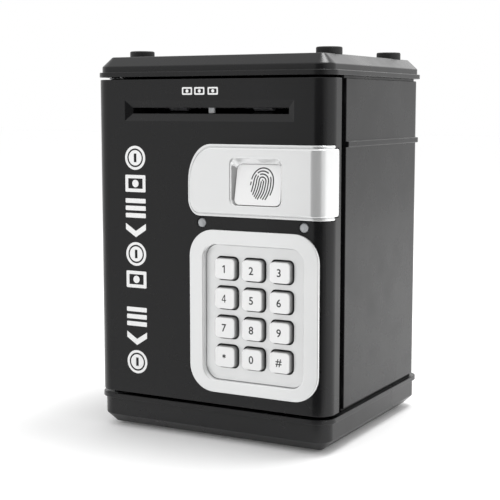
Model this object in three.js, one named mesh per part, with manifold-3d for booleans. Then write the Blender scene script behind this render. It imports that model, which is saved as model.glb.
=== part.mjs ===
// Toy cash-machine savings bank: a moulded case, a hinged door with a keypad, a finger pad and a banknote
// feeder, and everything that the door carries inside. Units are millimetres. +Z is up, the door faces -Y,
// and the origin is on the floor under the middle of the whole object.
import * as THREE from "three";
import { ConvexGeometry } from "three/addons/geometries/ConvexGeometry.js";
import { mergeVertices } from "three/addons/utils/BufferGeometryUtils.js";
import Module from "manifold-3d";

const wasm = await Module();
wasm.setup();

// ---- Driving dimensions ------------------------------------------------------------------------------

const GAP = 0.3; // clearance between neighbouring pieces
const PAST = 1; // how far a cutter runs past the face that it opens

// Case: two caps with a flat band, a thin proud rim and a wide chamfer, and a wall shell between them.
const CASE_Y = 1.0; // middle of the case, a little behind the middle of the whole object
const BAND_X = 63.5; // half width of a cap's band
const BAND_Y = 58.0; // half depth of a cap's band
const BAND_R = 7.5;
const RIM = 1.4; // how far a rim stands proud of its band
const CHAMFER_RUN = 5.1;
const CHAMFER_RISE = 4.85;
const BASE = { bottom: 1.5, rim: 15.0, top: 17.35 };
const CAP = { bottom: 176.05, rim: 178.4, top: 186.0 };
const CAP_WALL = 6.0; // from a cap's band in to the hollow that lightens it
const ROOF = 2.8; // thickness of the cap's roof and of the base's floor
const LEDGE = 2.45; // thickness of the shelf that closes each cap above and below the door

const WALL_X = 63.2;
const WALL = { front: -37.3, back: 57.9, bottom: 18.7, top: 174.9, thickness: 2.5, radius: 6.7 };
const LIP_POCKET_FRONT = 1.2; // how far a cap's hollow runs forward of the walls
const LIP = { inset: 1.3, bottom: 13.5, top: 179.6 }; // thin lip that plugs into both caps
const BELT = { bottom: 143.0, top: 145.7, proud: 1.4 };
const COLLAR = { x: 57.5, front: -40.0, back: -35.0, bottom: 22.4, top: 171.3 };

const STUD_X = 52.2;
const STUD_Y = [-32.8, 40.4];
const STUD = { radius: 6.2, bottom: 185.2, top: 189.5, edge: 0.7 };
const FOOT = { x: 50, y: [-41, 43], radius: 6, height: 2.5 };
const COIN_SLOT = { length: 34, width: 5, y: 22 };

// Door: a shallow tray with rounded front edges, hung on two pins.
const DOOR = { x: 64.3, front: -58.0, back: -44.7, bottom: 18.75, top: 174.9, radius: 8.1, skin: 2.2 };
const DOOR_EDGE = 2.0; // thickness of the door's upper and lower edges
const HINGE = { x: -56, y: -51, pin: 2, collar: 3.2, head: 3.0, headLength: 1.9, boss: 4, bossLength: 8 };
const HINGE_PLAY = 0.25; // above and below each pin's collar

const NOTE_SLOT = { x0: -42.5, x1: 43.0, z0: 158.4, z1: 161.2, funnel: 3.6 };
const LED = { x: [-2.5, 51.8], z: 106.6, radius: 2.2, dome: 0.9, flat: 1.2, lip: 0.8, lipLength: 1.2 };

// Handle band: two steps that wrap round the door's right edge, and a sloped pocket for the finger pad.
const BAND_LOWER = {
  left: -9.6, bottom: 110.0, top: 144.3, front: -59.0, side: 64.6, end: -51.3,
  corner: 8.5, upperLeft: [12.4, 18], lowerLeft: [6.3, 8],
};
const BAND_UPPER = {
  left: -7.1, bottom: 112.5, top: 142.1, front: -60.4, side: 64.9, end: -47.7,
  corner: 9.1, upperLeft: [12.5, 17], lowerLeft: [4.5, 6],
};
const BAND_MIDDLE = -35; // any place well inside the door, left of the band
const BAND_BED = { front: -57.0, side: 63.0, radius: 7.0 }; // the bed that the door keeps for the band
const PAD_MOUTH = { x0: 14.4, x1: 41.2, z0: 115.8, z1: 138.1 };
const PAD_FLOOR = { x0: 16.3, x1: 40.6, z0: 116.1, z1: 135.1 };
const PAD_DEPTH = { shallow: 1.3, deep: 4.1 };
const PAD_WELL = { back: -53.5, wall: 1.2, radius: 2.5 };
const PAD_SPLAY = 0.6; // how far the pad's lower edge spreads into the drafted mouth
const PAD_FLANGE = { reach: 1.0, thickness: 1.0 }; // room in front of it, to the skin, is the pad's travel

// Keypad: a raised frame, a sunken panel and twelve keys in four rows of three.
const BEZEL = { x0: -9.75, x1: 60.15, z0: 24.7, z1: 103.7, radius: 13, front: -59.5, edge: 0.8 };
const PANEL = { x0: -1.8, x1: 52.4, z0: 31.7, z1: 96.5, radius: 6, front: -56.0, back: -54.5 };
const PANEL_WALL = 1.8;
const PANEL_FIT = 0.4; // clearance round the panel's tub in the door
const KEY_X = [10.6, 25.25, 39.9];
const KEY_Z = [85.2, 71.05, 56.9, 42.75];
const KEY_NAMES = ["1", "2", "3", "4", "5", "6", "7", "8", "9", "star", "0", "hash"];
const KEY = { width: 10.3, height: 9.7, radius: 1.9, front: -59.4, draft: 0.5, hole: 0.4 };
const KEY_FLANGE = { reach: 1.4, thickness: 0.8, neck: 0.6 };
const MAT = { front: -51.9, back: -50.7 };
const BOARD = { x0: -8.5, x1: 58.5, z0: 29, z1: 100, front: -50.4, back: -48.8 };
const BOARD_POST = { radius: 1.8, x: [BOARD.x0 + 1.9, BOARD.x1 - 1.9], z: [BOARD.z0 + 2, BOARD.z1 - 3] };

// Door's back cover: a plate inside the door's rim with a deep box that holds the works.
const COVER = { x: 61.8, bottom: 21.1, top: 172.6, front: -46.7, back: -44.9 };
const BOX = { x0: -50, x1: 52, z0: 24, z1: 169.4, back: -24.4, wall: 1.8, radius: 4 };
const COVER_SCREWS = [[-55.5, 33], [-55.5, 160], [58.6, 25.2], [58.6, 166]];
const SCREW = { shank: 1.2, head: 2.6, headHeight: 1.5, length: 5.2, boss: 2.8 };
const NOTE_EXIT = { x: 43.5, z0: 156.6, z1: 163.2 };
const SPEAKER = { x: -30, z: 118, radius: 14, front: -32.6, back: -26.8, magnet: 6 };
const GRILLE = { rows: [-2, -1, 0, 1, 2], pitch: 4, slit: 1.6, halfLength: 10, step: 2 };

const CELL = { radius: 7.25, length: 50.5, nub: 2.75, nubHeight: 1.0, y: -35.5 };
const CELL_Z = [42, 58, 74];
const TRAY = { x: 32, z0: 31, z1: 85, front: -46.0, wall: 1.2 };
const CONTACT = { half: 5, thickness: 0.6, coneTip: 1.6, coneFoot: 3.2 };
const BATTERY_COVER = { inset: TRAY.wall + 0.4, thickness: 1.5 };

// Banknote feeder: a driven roller under the note and an idle roller above it.
const FEED = { y: -43, z: 154.3, shaft: 1.5, roller: 5, rollerX: [18.4, 28.8] };
const PINCH = { y: -43, z: 162.1, shaft: 1.2, roller: 2.5 };
const CHEEK = { left: -46.5, right: 43.0, thickness: 2, top: 167.2 };
const LEFT_CHEEK = { front: -54, back: -32, bottom: 148 };
const RIGHT_CHEEK = { front: -54, back: -29, bottom: 132 };
const GEAR = { module: 0.8, teeth: 27, x0: 45.6, x1: 48.4 };
const TOOTH = { rootShare: 0.29, tipShare: 0.1 }; // half widths of a tooth, as shares of the pitch
const PINION_TEETH = 9;
const MOTOR = { y: -38, z: 140.8, radius: 7.5, x0: 20, x1: 42.7, shaft: 1, boss: 3, bossLength: 1.5 };
const GUIDE = { bottom: 157.2, top: 158.2, front: -55.3, back: -28, windowSide: 1.2, windowHalf: 4.6 };
const BRIDGE = { front: -54.6, back: -48, bottom: 166 };
const SLACK = 0.3; // play of a shaft in the feeder's frame
const LEVER = { y: -53.2, z: 164, pin: 0.6, pinReach: 2.2, hub: 1.5, arm: 0.5, x0: -1, x1: 2.2, tip: 158.6 };
const EAR = { thickness: 1.2, gap: 0.5, half: 1.8, drop: 2 };

// Lock: a solenoid pushes a square bolt out of the box's right side, behind a strike on the case.
const BOLT = { y: -30, z: 122, half: 3.4, x0: 42, x1: 53, stem: 2, stemStart: 24, windowGap: 0.6 };
const SOLENOID = { x0: 14, x1: 36, y0: -33.4, y1: -26.6, half: 7 };
const SOLENOID_FOOT = { inset: 2, front: -41, half: 5.5 };
const LOCK_SPRING = { radius: 3.1, wire: 0.35, turns: 4, x0: 36.8, x1: 41.2 };
const STRIKE = { x0: 56.5, x1: 60.4, y0: -34.7, y1: -33.9, halfHeight: 10 };

// ---- Materials ---------------------------------------------------------------------------------------

function plastic(color, roughness) {
  return new THREE.MeshStandardMaterial({ color, roughness, metalness: 0 });
}

function metal(color, roughness) {
  return new THREE.MeshStandardMaterial({ color, roughness, metalness: 1 });
}

const BLACK_PLASTIC = plastic(0x2c2c2e, 0.45);
const INNER_PLASTIC = plastic(0x1c1c1e, 0.6);
const BLACK_RUBBER = plastic(0x121212, 0.85);
const SILVER_PAINT = new THREE.MeshStandardMaterial({ color: 0xd9dadb, roughness: 0.35, metalness: 0.4 });
const KEY_PLASTIC = plastic(0xf1f1f0, 0.4);
const CLEAR_LENS = plastic(0xc8cacc, 0.15);
const GREY_RUBBER = plastic(0x8f9092, 0.8);
const LIGHT_PLASTIC = plastic(0xb9bbbd, 0.5);
const BOARD_GREEN = plastic(0x1d5a38, 0.5);
const STEEL = metal(0xb8babd, 0.3);
const BRASS = metal(0xc9a650, 0.3);
const CELL_SLEEVE = plastic(0x30557d, 0.35);

// ---- Shape helpers -----------------------------------------------------------------------------------

// A closed geometry as a solid that can be joined and cut.
function solid(geometry) {
  const bare = geometry.index ? geometry.toNonIndexed() : geometry.clone();
  bare.deleteAttribute("normal");
  bare.deleteAttribute("uv");
  const merged = mergeVertices(bare, 1e-4);
  const vertProperties = new Float32Array(merged.attributes.position.array);
  const triVerts = new Uint32Array(merged.index.array);
  return new wasm.Manifold(new wasm.Mesh({ numProp: 3, vertProperties, triVerts }));
}

function join(first, ...others) {
  return others.reduce((sum, piece) => sum.add(piece), first);
}

function cut(first, ...tools) {
  return tools.reduce((rest, tool) => rest.subtract(tool), first);
}

// A solid back as a geometry with flat-shaded faces.
function geometryOf(made) {
  const mesh = made.getMesh();
  const position = new THREE.BufferAttribute(new Float32Array(mesh.vertProperties), 3);
  const geometry = new THREE.BufferGeometry().setAttribute("position", position);
  geometry.setIndex(new THREE.BufferAttribute(new Uint32Array(mesh.triVerts), 1));
  const flat = geometry.toNonIndexed();
  flat.computeVertexNormals();
  return flat;
}

// A rectangle with its own radius at each corner: [lower left, lower right, upper right, upper left].
// A radius is a number, or [across, up] for an elliptical corner.
function roundedRect(x0, x1, y0, y1, radii) {
  const r = (Array.isArray(radii) ? radii : [radii, radii, radii, radii])
    .map((one) => (Array.isArray(one) ? one : [one, one]));
  const shape = new THREE.Shape();
  const corners = [
    [x0 + r[0][0], y0 + r[0][1], r[0], Math.PI],
    [x1 - r[1][0], y0 + r[1][1], r[1], 1.5 * Math.PI],
    [x1 - r[2][0], y1 - r[2][1], r[2], 0],
    [x0 + r[3][0], y1 - r[3][1], r[3], 0.5 * Math.PI],
  ];
  corners.forEach(([cx, cy, [rx, ry], start], index) => {
    const from = [cx + rx * Math.cos(start), cy + ry * Math.sin(start)];
    if (index === 0) shape.moveTo(...from);
    else shape.lineTo(...from);
    if (rx > 0) shape.absellipse(cx, cy, rx, ry, start, start + Math.PI / 2);
  });
  return shape;
}

// Local +Z becomes the named world axis.
const TURN = {
  x: new THREE.Matrix4().makeBasis(
    new THREE.Vector3(0, 1, 0), new THREE.Vector3(0, 0, 1), new THREE.Vector3(1, 0, 0)),
  y: new THREE.Matrix4().makeBasis(
    new THREE.Vector3(1, 0, 0), new THREE.Vector3(0, 0, 1), new THREE.Vector3(0, -1, 0)),
  z: new THREE.Matrix4(),
};

// An outline pushed along one axis from one place to another. The outline's own two axes are Y and Z for
// axis x, X and Z for axis y, and X and Y for axis z. Each quarter round gets 2 * steps straight pieces.
function prism(axis, shape, from, to, steps = 2) {
  const geometry = new THREE.ExtrudeGeometry(shape, {
    depth: to - from,
    bevelEnabled: false,
    curveSegments: steps,
  });
  geometry.applyMatrix4(TURN[axis]);
  const start = axis === "y" ? to : from;
  geometry.translate(axis === "x" ? start : 0, axis === "y" ? start : 0, axis === "z" ? start : 0);
  return solid(geometry);
}

function box(x0, x1, y0, y1, z0, z1) {
  const geometry = new THREE.BoxGeometry(x1 - x0, y1 - y0, z1 - z0);
  geometry.translate((x0 + x1) / 2, (y0 + y1) / 2, (z0 + z1) / 2);
  return solid(geometry);
}

// A round bar along one axis through a point given by the other two coordinates, in X, Y, Z order.
function rod(axis, a, b, radius, from, to, sides = 16) {
  const geometry = new THREE.CylinderGeometry(radius, radius, to - from, sides);
  const middle = (from + to) / 2;
  if (axis === "x") geometry.rotateZ(Math.PI / 2).translate(middle, a, b);
  if (axis === "y") geometry.translate(a, middle, b);
  if (axis === "z") geometry.rotateX(Math.PI / 2).translate(a, b, middle);
  return solid(geometry);
}

// A turned piece: profile points are [radius, place along the axis], from one end on the axis to the other.
function turned(axis, a, b, profile, sides = 16) {
  const points = profile.map(([r, t]) => new THREE.Vector2(r, t));
  if (points[0].y > points[points.length - 1].y) points.reverse();
  const geometry = new THREE.LatheGeometry(points, sides);
  if (axis === "x") geometry.rotateZ(-Math.PI / 2).translate(0, a, b);
  if (axis === "y") geometry.translate(a, 0, b);
  if (axis === "z") geometry.rotateX(Math.PI / 2).translate(a, b, 0);
  return solid(geometry);
}

function hull(points) {
  return solid(new ConvexGeometry(points.map((p) => new THREE.Vector3(...p))));
}

// ---- Case --------------------------------------------------------------------------------------------

function casingShell() {
  const { front, back, bottom, top, thickness, radius } = WALL;
  const ring = (inset, z0, z1) => {
    const r = radius - inset;
    const outline = roundedRect(-WALL_X + inset, WALL_X - inset, front, back - inset, [0, 0, r, r]);
    return prism("z", outline, z0, z1);
  };
  const walls = ring(0, bottom, top);
  const lip = ring(LIP.inset, LIP.bottom, LIP.top);
  const belt = ring(-BELT.proud, BELT.bottom, BELT.top);
  const inside = roundedRect(-WALL_X + thickness, WALL_X - thickness, front - PAST, back - thickness,
    [0, 0, radius - thickness, radius - thickness]);
  const hollow = prism("z", inside, 0, CAP.top);
  const shell = cut(join(walls, lip, belt), hollow);
  const bite = 0.4; // how far the collar runs into the walls
  const collarX = WALL_X - thickness + bite;
  const collarOut = box(-collarX, collarX, COLLAR.front, COLLAR.back, bottom + bite, top - bite);
  const collarIn = box(-COLLAR.x, COLLAR.x, COLLAR.front - PAST, COLLAR.back + PAST,
    COLLAR.bottom, COLLAR.top);
  return join(shell, cut(collarOut, collarIn));
}

function caseOutline(grow) {
  return roundedRect(-BAND_X - grow, BAND_X + grow, CASE_Y - BAND_Y - grow, CASE_Y + BAND_Y + grow,
    BAND_R + grow);
}

// A cap's outside: band, proud rim and chamfer. The chamfer is on top, or below when it is upside down.
function capBlock(low, high, rimLow, rimHigh, chamferOnTop) {
  const geometry = new THREE.ExtrudeGeometry(caseOutline(-CHAMFER_RUN), {
    depth: high - low - CHAMFER_RISE,
    bevelEnabled: true,
    bevelThickness: CHAMFER_RISE,
    bevelSize: CHAMFER_RUN,
    bevelSegments: 1,
    curveSegments: 2,
  });
  geometry.translate(0, 0, chamferOnTop ? low : low + CHAMFER_RISE);
  const reach = 2 * BAND_X;
  const band = solid(geometry).intersect(box(-reach, reach, -reach, reach, low, high));
  return join(band, prism("z", caseOutline(RIM), rimLow, rimHigh));
}

// The hollow that takes the wall shell's lip, behind the door.
function lipPocket(z0, z1) {
  const half = WALL_X - LIP.inset + GAP;
  const r = WALL.radius - LIP.inset + GAP;
  return prism("z", roundedRect(-half, half, WALL.front - LIP_POCKET_FRONT, WALL.back - LIP.inset + GAP,
    [0, 0, r, r]), z0, z1);
}

// The wider hollow that lightens a cap over its whole plan.
function lightening(z0, z1) {
  return prism("z", caseOutline(-CAP_WALL), z0, z1);
}

// The round hollow behind a cap's ledge that takes a hinge pin's head.
function pinHeadPocket(z0, z1) {
  return rod("z", HINGE.x, HINGE.y, HINGE.head + 2 * GAP, z0, z1);
}

function topCap() {
  const block = capBlock(CAP.bottom, CAP.top, CAP.bottom, CAP.rim, true);
  const slot = roundedRect(-COIN_SLOT.length / 2, COIN_SLOT.length / 2,
    COIN_SLOT.y - COIN_SLOT.width / 2, COIN_SLOT.y + COIN_SLOT.width / 2, 2);
  const sockets = STUD_Y.flatMap((y) => [-STUD_X, STUD_X].map((x) =>
    rod("z", x, y, STUD.radius + GAP, STUD.bottom - GAP, CAP.top + PAST, 20)));
  return cut(
    block,
    lipPocket(CAP.bottom - PAST, LIP.top + GAP),
    lightening(CAP.bottom + LEDGE, CAP.top - ROOF),
    prism("z", slot, CAP.top - ROOF - PAST, CAP.top + PAST),
    rod("z", HINGE.x, HINGE.y, HINGE.pin + GAP, CAP.bottom - PAST, CAP.top - ROOF - PAST),
    pinHeadPocket(CAP.bottom + LEDGE, CAP.top - ROOF - PAST),
    ...sockets,
  );
}

function baseCap() {
  const block = capBlock(BASE.bottom, BASE.top, BASE.rim, BASE.top, false);
  const sockets = FOOT.y.flatMap((y) => [-FOOT.x, FOOT.x].map((x) =>
    rod("z", x, y, FOOT.radius + GAP, BASE.bottom - PAST, FOOT.height + GAP, 20)));
  return cut(
    block,
    lipPocket(LIP.bottom - GAP, BASE.top + PAST),
    lightening(BASE.bottom + ROOF, BASE.top - LEDGE),
    rod("z", HINGE.x, HINGE.y, HINGE.pin + GAP, BASE.top - LEDGE - PAST, BASE.top + PAST),
    pinHeadPocket(BASE.bottom + ROOF + PAST, BASE.top - LEDGE),
    ...sockets,
  );
}

function topStud(x, y) {
  return turned("z", x, y, [
    [0, STUD.bottom],
    [STUD.radius, STUD.bottom],
    [STUD.radius, STUD.top - STUD.edge],
    [STUD.radius - STUD.edge, STUD.top],
    [0, STUD.top],
  ], 20);
}

function foot(x, y) {
  return rod("z", x, y, FOOT.radius, 0, FOOT.height, 20);
}

// A hinge pin: a shank in the door, a collar that carries the door's edge and a head inside the cap.
function hingePin(edge, capFace, ledgeFace) {
  const up = Math.sign(capFace - edge);
  const tip = edge - up * (HINGE.bossLength - 1);
  const headStart = ledgeFace + up * GAP;
  const headEnd = headStart + up * HINGE.headLength;
  return turned("z", HINGE.x, HINGE.y, [
    [0, tip],
    [HINGE.pin, tip],
    [HINGE.pin, edge + up * HINGE_PLAY],
    [HINGE.collar, edge + up * HINGE_PLAY],
    [HINGE.collar, capFace - up * HINGE_PLAY],
    [HINGE.pin, capFace - up * HINGE_PLAY],
    [HINGE.pin, headStart],
    [HINGE.head, headStart],
    [HINGE.head, headEnd],
    [0, headEnd],
  ], 16);
}

function strikePlate() {
  return box(STRIKE.x0, STRIKE.x1, STRIKE.y0, STRIKE.y1,
    BOLT.z - STRIKE.halfHeight, BOLT.z + STRIKE.halfHeight);
}

// ---- Door --------------------------------------------------------------------------------------------

// The door's plan outline, shrunk by an inset: rounded front edges and a square back.
function doorPlan(inset, back) {
  const r = DOOR.radius - inset;
  return roundedRect(-DOOR.x + inset, DOOR.x - inset, DOOR.front + inset, back, [r, r, 0, 0]);
}

function bandOutline(tier, grow) {
  return roundedRect(tier.left - grow, DOOR.x + BAND_X, tier.bottom - grow, tier.top + grow,
    [tier.lowerLeft, 0, 0, tier.upperLeft]);
}

// The plan of everything behind the band's face: square on its left, rounded at the door's right corner.
function bandPlan(front, side, back, radius) {
  return roundedRect(BAND_MIDDLE, side, front, back, [0, radius, 0, 0]);
}

// One step of the band, or the bed for it: the plan's front-right sweep seen through the step's outline.
function bandTier(tier, front, side, radius, grow) {
  const plan = bandPlan(front, side, DOOR.back, radius);
  const sweep = prism("z", plan, tier.bottom - PAST, tier.top + PAST, 3);
  return sweep.intersect(prism("y", bandOutline(tier, grow), front - PAST, tier.end + grow, 3));
}

function padWell(grow, from, to) {
  return prism("y", roundedRect(PAD_MOUTH.x0 - grow, PAD_MOUTH.x1 + grow, PAD_MOUTH.z0 - grow,
    PAD_MOUTH.z1 + grow, PAD_WELL.radius), from, to);
}

function noteFunnel() {
  const s = NOTE_SLOT;
  const rect = (grow, y) => [
    [s.x0 - grow, y, s.z0 - grow], [s.x1 + grow, y, s.z0 - grow],
    [s.x1 + grow, y, s.z1 + grow], [s.x0 - grow, y, s.z1 + grow],
  ];
  const depth = DOOR.skin - GAP;
  return hull([...rect(0, DOOR.front + depth), ...rect(s.funnel, DOOR.front),
    ...rect(s.funnel, DOOR.front - PAST)]);
}

function doorFrontShell() {
  const outside = prism("z", doorPlan(0, DOOR.back), DOOR.bottom, DOOR.top, 3);
  const inside = prism("z", doorPlan(DOOR.skin, DOOR.back + PAST), DOOR.bottom + DOOR_EDGE,
    DOOR.top - DOOR_EDGE, 3);
  const inner = DOOR.front + DOOR.skin;
  const root = inner - 0.6; // where each boss starts, inside the skin
  const screwHoleStart = COVER.front - SCREW.length + 0.7;
  const hingeBosses = [DOOR.bottom, DOOR.top - HINGE.bossLength].map((z) =>
    rod("z", HINGE.x, HINGE.y, HINGE.boss, z, z + HINGE.bossLength));
  const screwBosses = COVER_SCREWS.map(([x, z]) =>
    rod("y", x, z, SCREW.boss, root, COVER.front - GAP, 12));
  const boardPosts = BOARD_POST.x.flatMap((x) => BOARD_POST.z.map((z) =>
    rod("y", x, z, BOARD_POST.radius, root, BOARD.front - GAP, 12)));
  const shell = join(cut(outside, inside), ...hingeBosses, ...screwBosses, ...boardPosts);
  const slot = NOTE_SLOT;
  return cut(
    shell,
    noteFunnel(),
    box(slot.x0, slot.x1, DOOR.front - PAST, inner + PAST, slot.z0, slot.z1),
    prism("y", panelOutline(PANEL_WALL + PANEL_FIT), DOOR.front - PAST, inner + PAST),
    bandBed(BAND_LOWER),
    bandBed(BAND_UPPER),
    padWell(PAD_WELL.wall + GAP, DOOR.front - PAST, inner + PAST),
    ...LED.x.map((x) => rod("y", x, LED.z, LED.radius + GAP, DOOR.front - PAST, inner + PAST)),
    ...COVER_SCREWS.map(([x, z]) => rod("y", x, z, SCREW.shank + GAP, screwHoleStart, DOOR.back, 12)),
    rod("z", HINGE.x, HINGE.y, HINGE.pin + GAP, DOOR.bottom - PAST, DOOR.bottom + HINGE.bossLength + PAST),
    rod("z", HINGE.x, HINGE.y, HINGE.pin + GAP, DOOR.top - HINGE.bossLength - PAST, DOOR.top + PAST),
  );
}

// The bed is cut from outside down to its floor, so it is all of the step's outline less the bed's core.
function bandBed(tier) {
  const reach = bandTier(tier, tier.front - PAST, tier.side + PAST, DOOR.radius, GAP);
  return cut(reach, bandCore(0));
}

// The body of the door behind the band's bed, or behind the band itself when it stands off by a gap.
function bandCore(off) {
  const plan = bandPlan(BAND_BED.front - off, BAND_BED.side + off, DOOR.back + PAST, BAND_BED.radius + off);
  return prism("z", plan, BAND_LOWER.bottom - 2 * PAST, BAND_LOWER.top + 2 * PAST, 3);
}

function handleBand() {
  const steps = [BAND_LOWER, BAND_UPPER].map((tier) => bandTier(tier, tier.front, tier.side, tier.corner, 0));
  const well = padWell(PAD_WELL.wall, BAND_UPPER.front + PAST, PAD_WELL.back);
  return cut(join(cut(join(...steps), bandCore(GAP)), well), padPocket());
}

// The finger pocket: drafted down to the pad's outline, then straight through.
function padPocket() {
  const front = BAND_UPPER.front;
  const rect = (r, y) => [[r.x0, y, r.z0], [r.x1, y, r.z0], [r.x1, y, r.z1], [r.x0, y, r.z1]];
  const mouth = hull([...rect(PAD_MOUTH, front), ...rect(PAD_MOUTH, front - PAST),
    ...rect(PAD_FLOOR, front + PAD_DEPTH.deep)]);
  const f = PAD_FLOOR;
  return join(mouth, box(f.x0, f.x1, front + PAST, PAD_WELL.back + PAST, f.z0, f.z1));
}

// The pad's face slopes from shallow at its lower edge to deep at its upper edge.
function fingerprintPad() {
  const f = PAD_FLOOR;
  const front = BAND_UPPER.front;
  const side = GAP + 0.2;
  const low = front + PAD_DEPTH.shallow;
  const high = front + PAD_DEPTH.deep;
  const foot = PAD_WELL.back + 2 * GAP;
  const [x0, x1, z0, z1] = [f.x0 + side, f.x1 - side, f.z0 + side, f.z1 - side];
  const block = hull([
    [x0 - PAD_SPLAY, low, z0], [x1, low, z0], [x0, high, z1], [x1, high, z1],
    [x0, foot, z0], [x1, foot, z0], [x0, foot, z1], [x1, foot, z1],
  ]);
  const reach = PAD_FLANGE.reach;
  const flangeFront = PAD_WELL.back + GAP;
  const flange = box(f.x0 - reach, f.x1 + reach, flangeFront, flangeFront + PAD_FLANGE.thickness,
    f.z0 - reach, f.z1 + reach);
  return join(block, flange);
}

function ledLens(x) {
  const face = DOOR.front;
  const inner = face + DOOR.skin + GAP;
  return turned("y", x, LED.z, [
    [0, face - LED.dome],
    [LED.flat, face - 0.8 * LED.dome],
    [LED.radius, face],
    [LED.radius, inner],
    [LED.radius + LED.lip, inner],
    [LED.radius + LED.lip, inner + LED.lipLength],
    [0, inner + LED.lipLength],
  ], 16);
}

function keyCentres() {
  return KEY_Z.flatMap((z) => KEY_X.map((x) => [x, z]));
}

function keyOutline(x, z, grow) {
  const w = KEY.width / 2 + grow;
  const h = KEY.height / 2 + grow;
  return roundedRect(x - w, x + w, z - h, z + h, KEY.radius + Math.max(grow, 0));
}

// An outline pushed back along +Y from a front face whose edge is bevelled all round.
function bevelledPlate(outline, front, bevelDepth, bevelSize, back, steps) {
  const depth = back - front;
  const geometry = new THREE.ExtrudeGeometry(outline, {
    depth,
    bevelEnabled: true,
    bevelThickness: bevelDepth,
    bevelSize,
    bevelSegments: 1,
    curveSegments: steps,
  });
  geometry.applyMatrix4(TURN.y);
  geometry.translate(0, front + bevelDepth + depth, 0);
  const reach = DOOR.x + BAND_X;
  return solid(geometry).intersect(box(-reach, reach, front, back, 0, CAP.top));
}

function panelOutline(grow) {
  const p = PANEL;
  return roundedRect(p.x0 - grow, p.x1 + grow, p.z0 - grow, p.z1 + grow, p.radius + grow);
}

function keypadBezel() {
  const b = BEZEL;
  const outline = roundedRect(b.x0 + b.edge, b.x1 - b.edge, b.z0 + b.edge, b.z1 - b.edge, b.radius - b.edge);
  const flangeBack = DOOR.front - GAP;
  const flange = bevelledPlate(outline, b.front, b.edge, b.edge, flangeBack, 3);
  const tubFront = flangeBack - 0.5;
  return cut(
    join(flange, prism("y", panelOutline(PANEL_WALL), tubFront, PANEL.back)),
    prism("y", panelOutline(0), b.front - PAST, PANEL.front),
    ...keyCentres().map(([x, z]) =>
      prism("y", keyOutline(x, z, KEY.draft + KEY.hole), PANEL.front - PAST, PANEL.back + PAST, 1)),
  );
}

// A key: a cap whose sides spread towards the panel, and a flange that keeps it in its pocket.
function keyCap(x, z) {
  const neck = PANEL.back + KEY_FLANGE.neck;
  const cap = bevelledPlate(keyOutline(x, z, 0), KEY.front, neck - KEY.front, KEY.draft, neck, 1);
  const w = KEY.width / 2 + KEY_FLANGE.reach;
  const h = KEY.height / 2 + KEY_FLANGE.reach;
  const front = PANEL.back + GAP;
  return join(cap, box(x - w, x + w, front, front + KEY_FLANGE.thickness, z - h, z + h));
}

function keypadMat() {
  return prism("y", panelOutline(0), MAT.front, MAT.back, 1);
}

function circuitBoard() {
  return box(BOARD.x0, BOARD.x1, BOARD.front, BOARD.back, BOARD.z0, BOARD.z1);
}

// ---- Door's back cover and power ---------------------------------------------------------------------

function doorBackCover() {
  const b = BOX;
  const plate = prism("y", roundedRect(-COVER.x, COVER.x, COVER.bottom, COVER.top, 1),
    COVER.front, COVER.back, 1);
  const outer = prism("y", roundedRect(b.x0, b.x1, b.z0, b.z1, b.radius), COVER.front, b.back, 1);
  const inner = prism("y", roundedRect(b.x0 + b.wall, b.x1 - b.wall, b.z0 + b.wall, b.z1 - b.wall,
    b.radius - b.wall), COVER.front - PAST, b.back - b.wall, 1);
  const t = TRAY;
  const tray = box(-t.x, t.x, t.front, b.back - b.wall / 2, t.z0, t.z1);
  const trayHollow = box(-t.x + t.wall, t.x - t.wall, t.front + t.wall, b.back + PAST,
    t.z0 + t.wall, t.z1 - t.wall);
  const grille = GRILLE.rows.map((row) => {
    const z = SPEAKER.z + row * GRILLE.pitch;
    const half = GRILLE.halfLength - Math.abs(row) * GRILLE.step;
    return box(SPEAKER.x - half, SPEAKER.x + half, b.back - b.wall - PAST, b.back + PAST,
      z - GRILLE.slit / 2, z + GRILLE.slit / 2);
  });
  const boltHalf = BOLT.half + BOLT.windowGap;
  const cover = join(cut(join(plate, outer), inner), tray);
  return cut(
    cover,
    trayHollow,
    box(-NOTE_EXIT.x, NOTE_EXIT.x, b.back - b.wall - PAST, b.back + PAST, NOTE_EXIT.z0, NOTE_EXIT.z1),
    box(b.x1 - b.wall - PAST, b.x1 + PAST, BOLT.y - boltHalf, BOLT.y + boltHalf - GAP,
      BOLT.z - boltHalf, BOLT.z + boltHalf),
    ...grille,
    ...COVER_SCREWS.map(([x, z]) =>
      rod("y", x, z, SCREW.shank + GAP, COVER.front - PAST, COVER.back + PAST, 12)),
  );
}

function coverScrew([x, z]) {
  const seat = COVER.back + GAP;
  const edge = SCREW.headHeight / 2;
  return turned("y", x, z, [
    [0, seat - SCREW.length],
    [SCREW.shank, seat - SCREW.length + edge],
    [SCREW.shank, seat],
    [SCREW.head, seat],
    [SCREW.head, seat + edge],
    [SCREW.head - edge, seat + SCREW.headHeight],
    [0, seat + SCREW.headHeight],
  ], 12);
}

function batteryCover() {
  const { inset, thickness } = BATTERY_COVER;
  const back = BOX.back - 0.1;
  return box(-TRAY.x + inset, TRAY.x - inset, back - thickness, back, TRAY.z0 + inset, TRAY.z1 - inset);
}

// Cells lie across the door, and every second one is turned end for end.
function batteryCell(index) {
  const half = CELL.length / 2;
  const way = index % 2 === 0 ? 1 : -1;
  const profile = [
    [0, -half],
    [CELL.radius, -half],
    [CELL.radius, half - CELL.nubHeight],
    [CELL.nub, half - CELL.nubHeight],
    [CELL.nub, half],
    [0, half],
  ].map(([r, x]) => [r, way * x]);
  return turned("x", CELL.y, CELL_Z[index], profile, 16);
}

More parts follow.
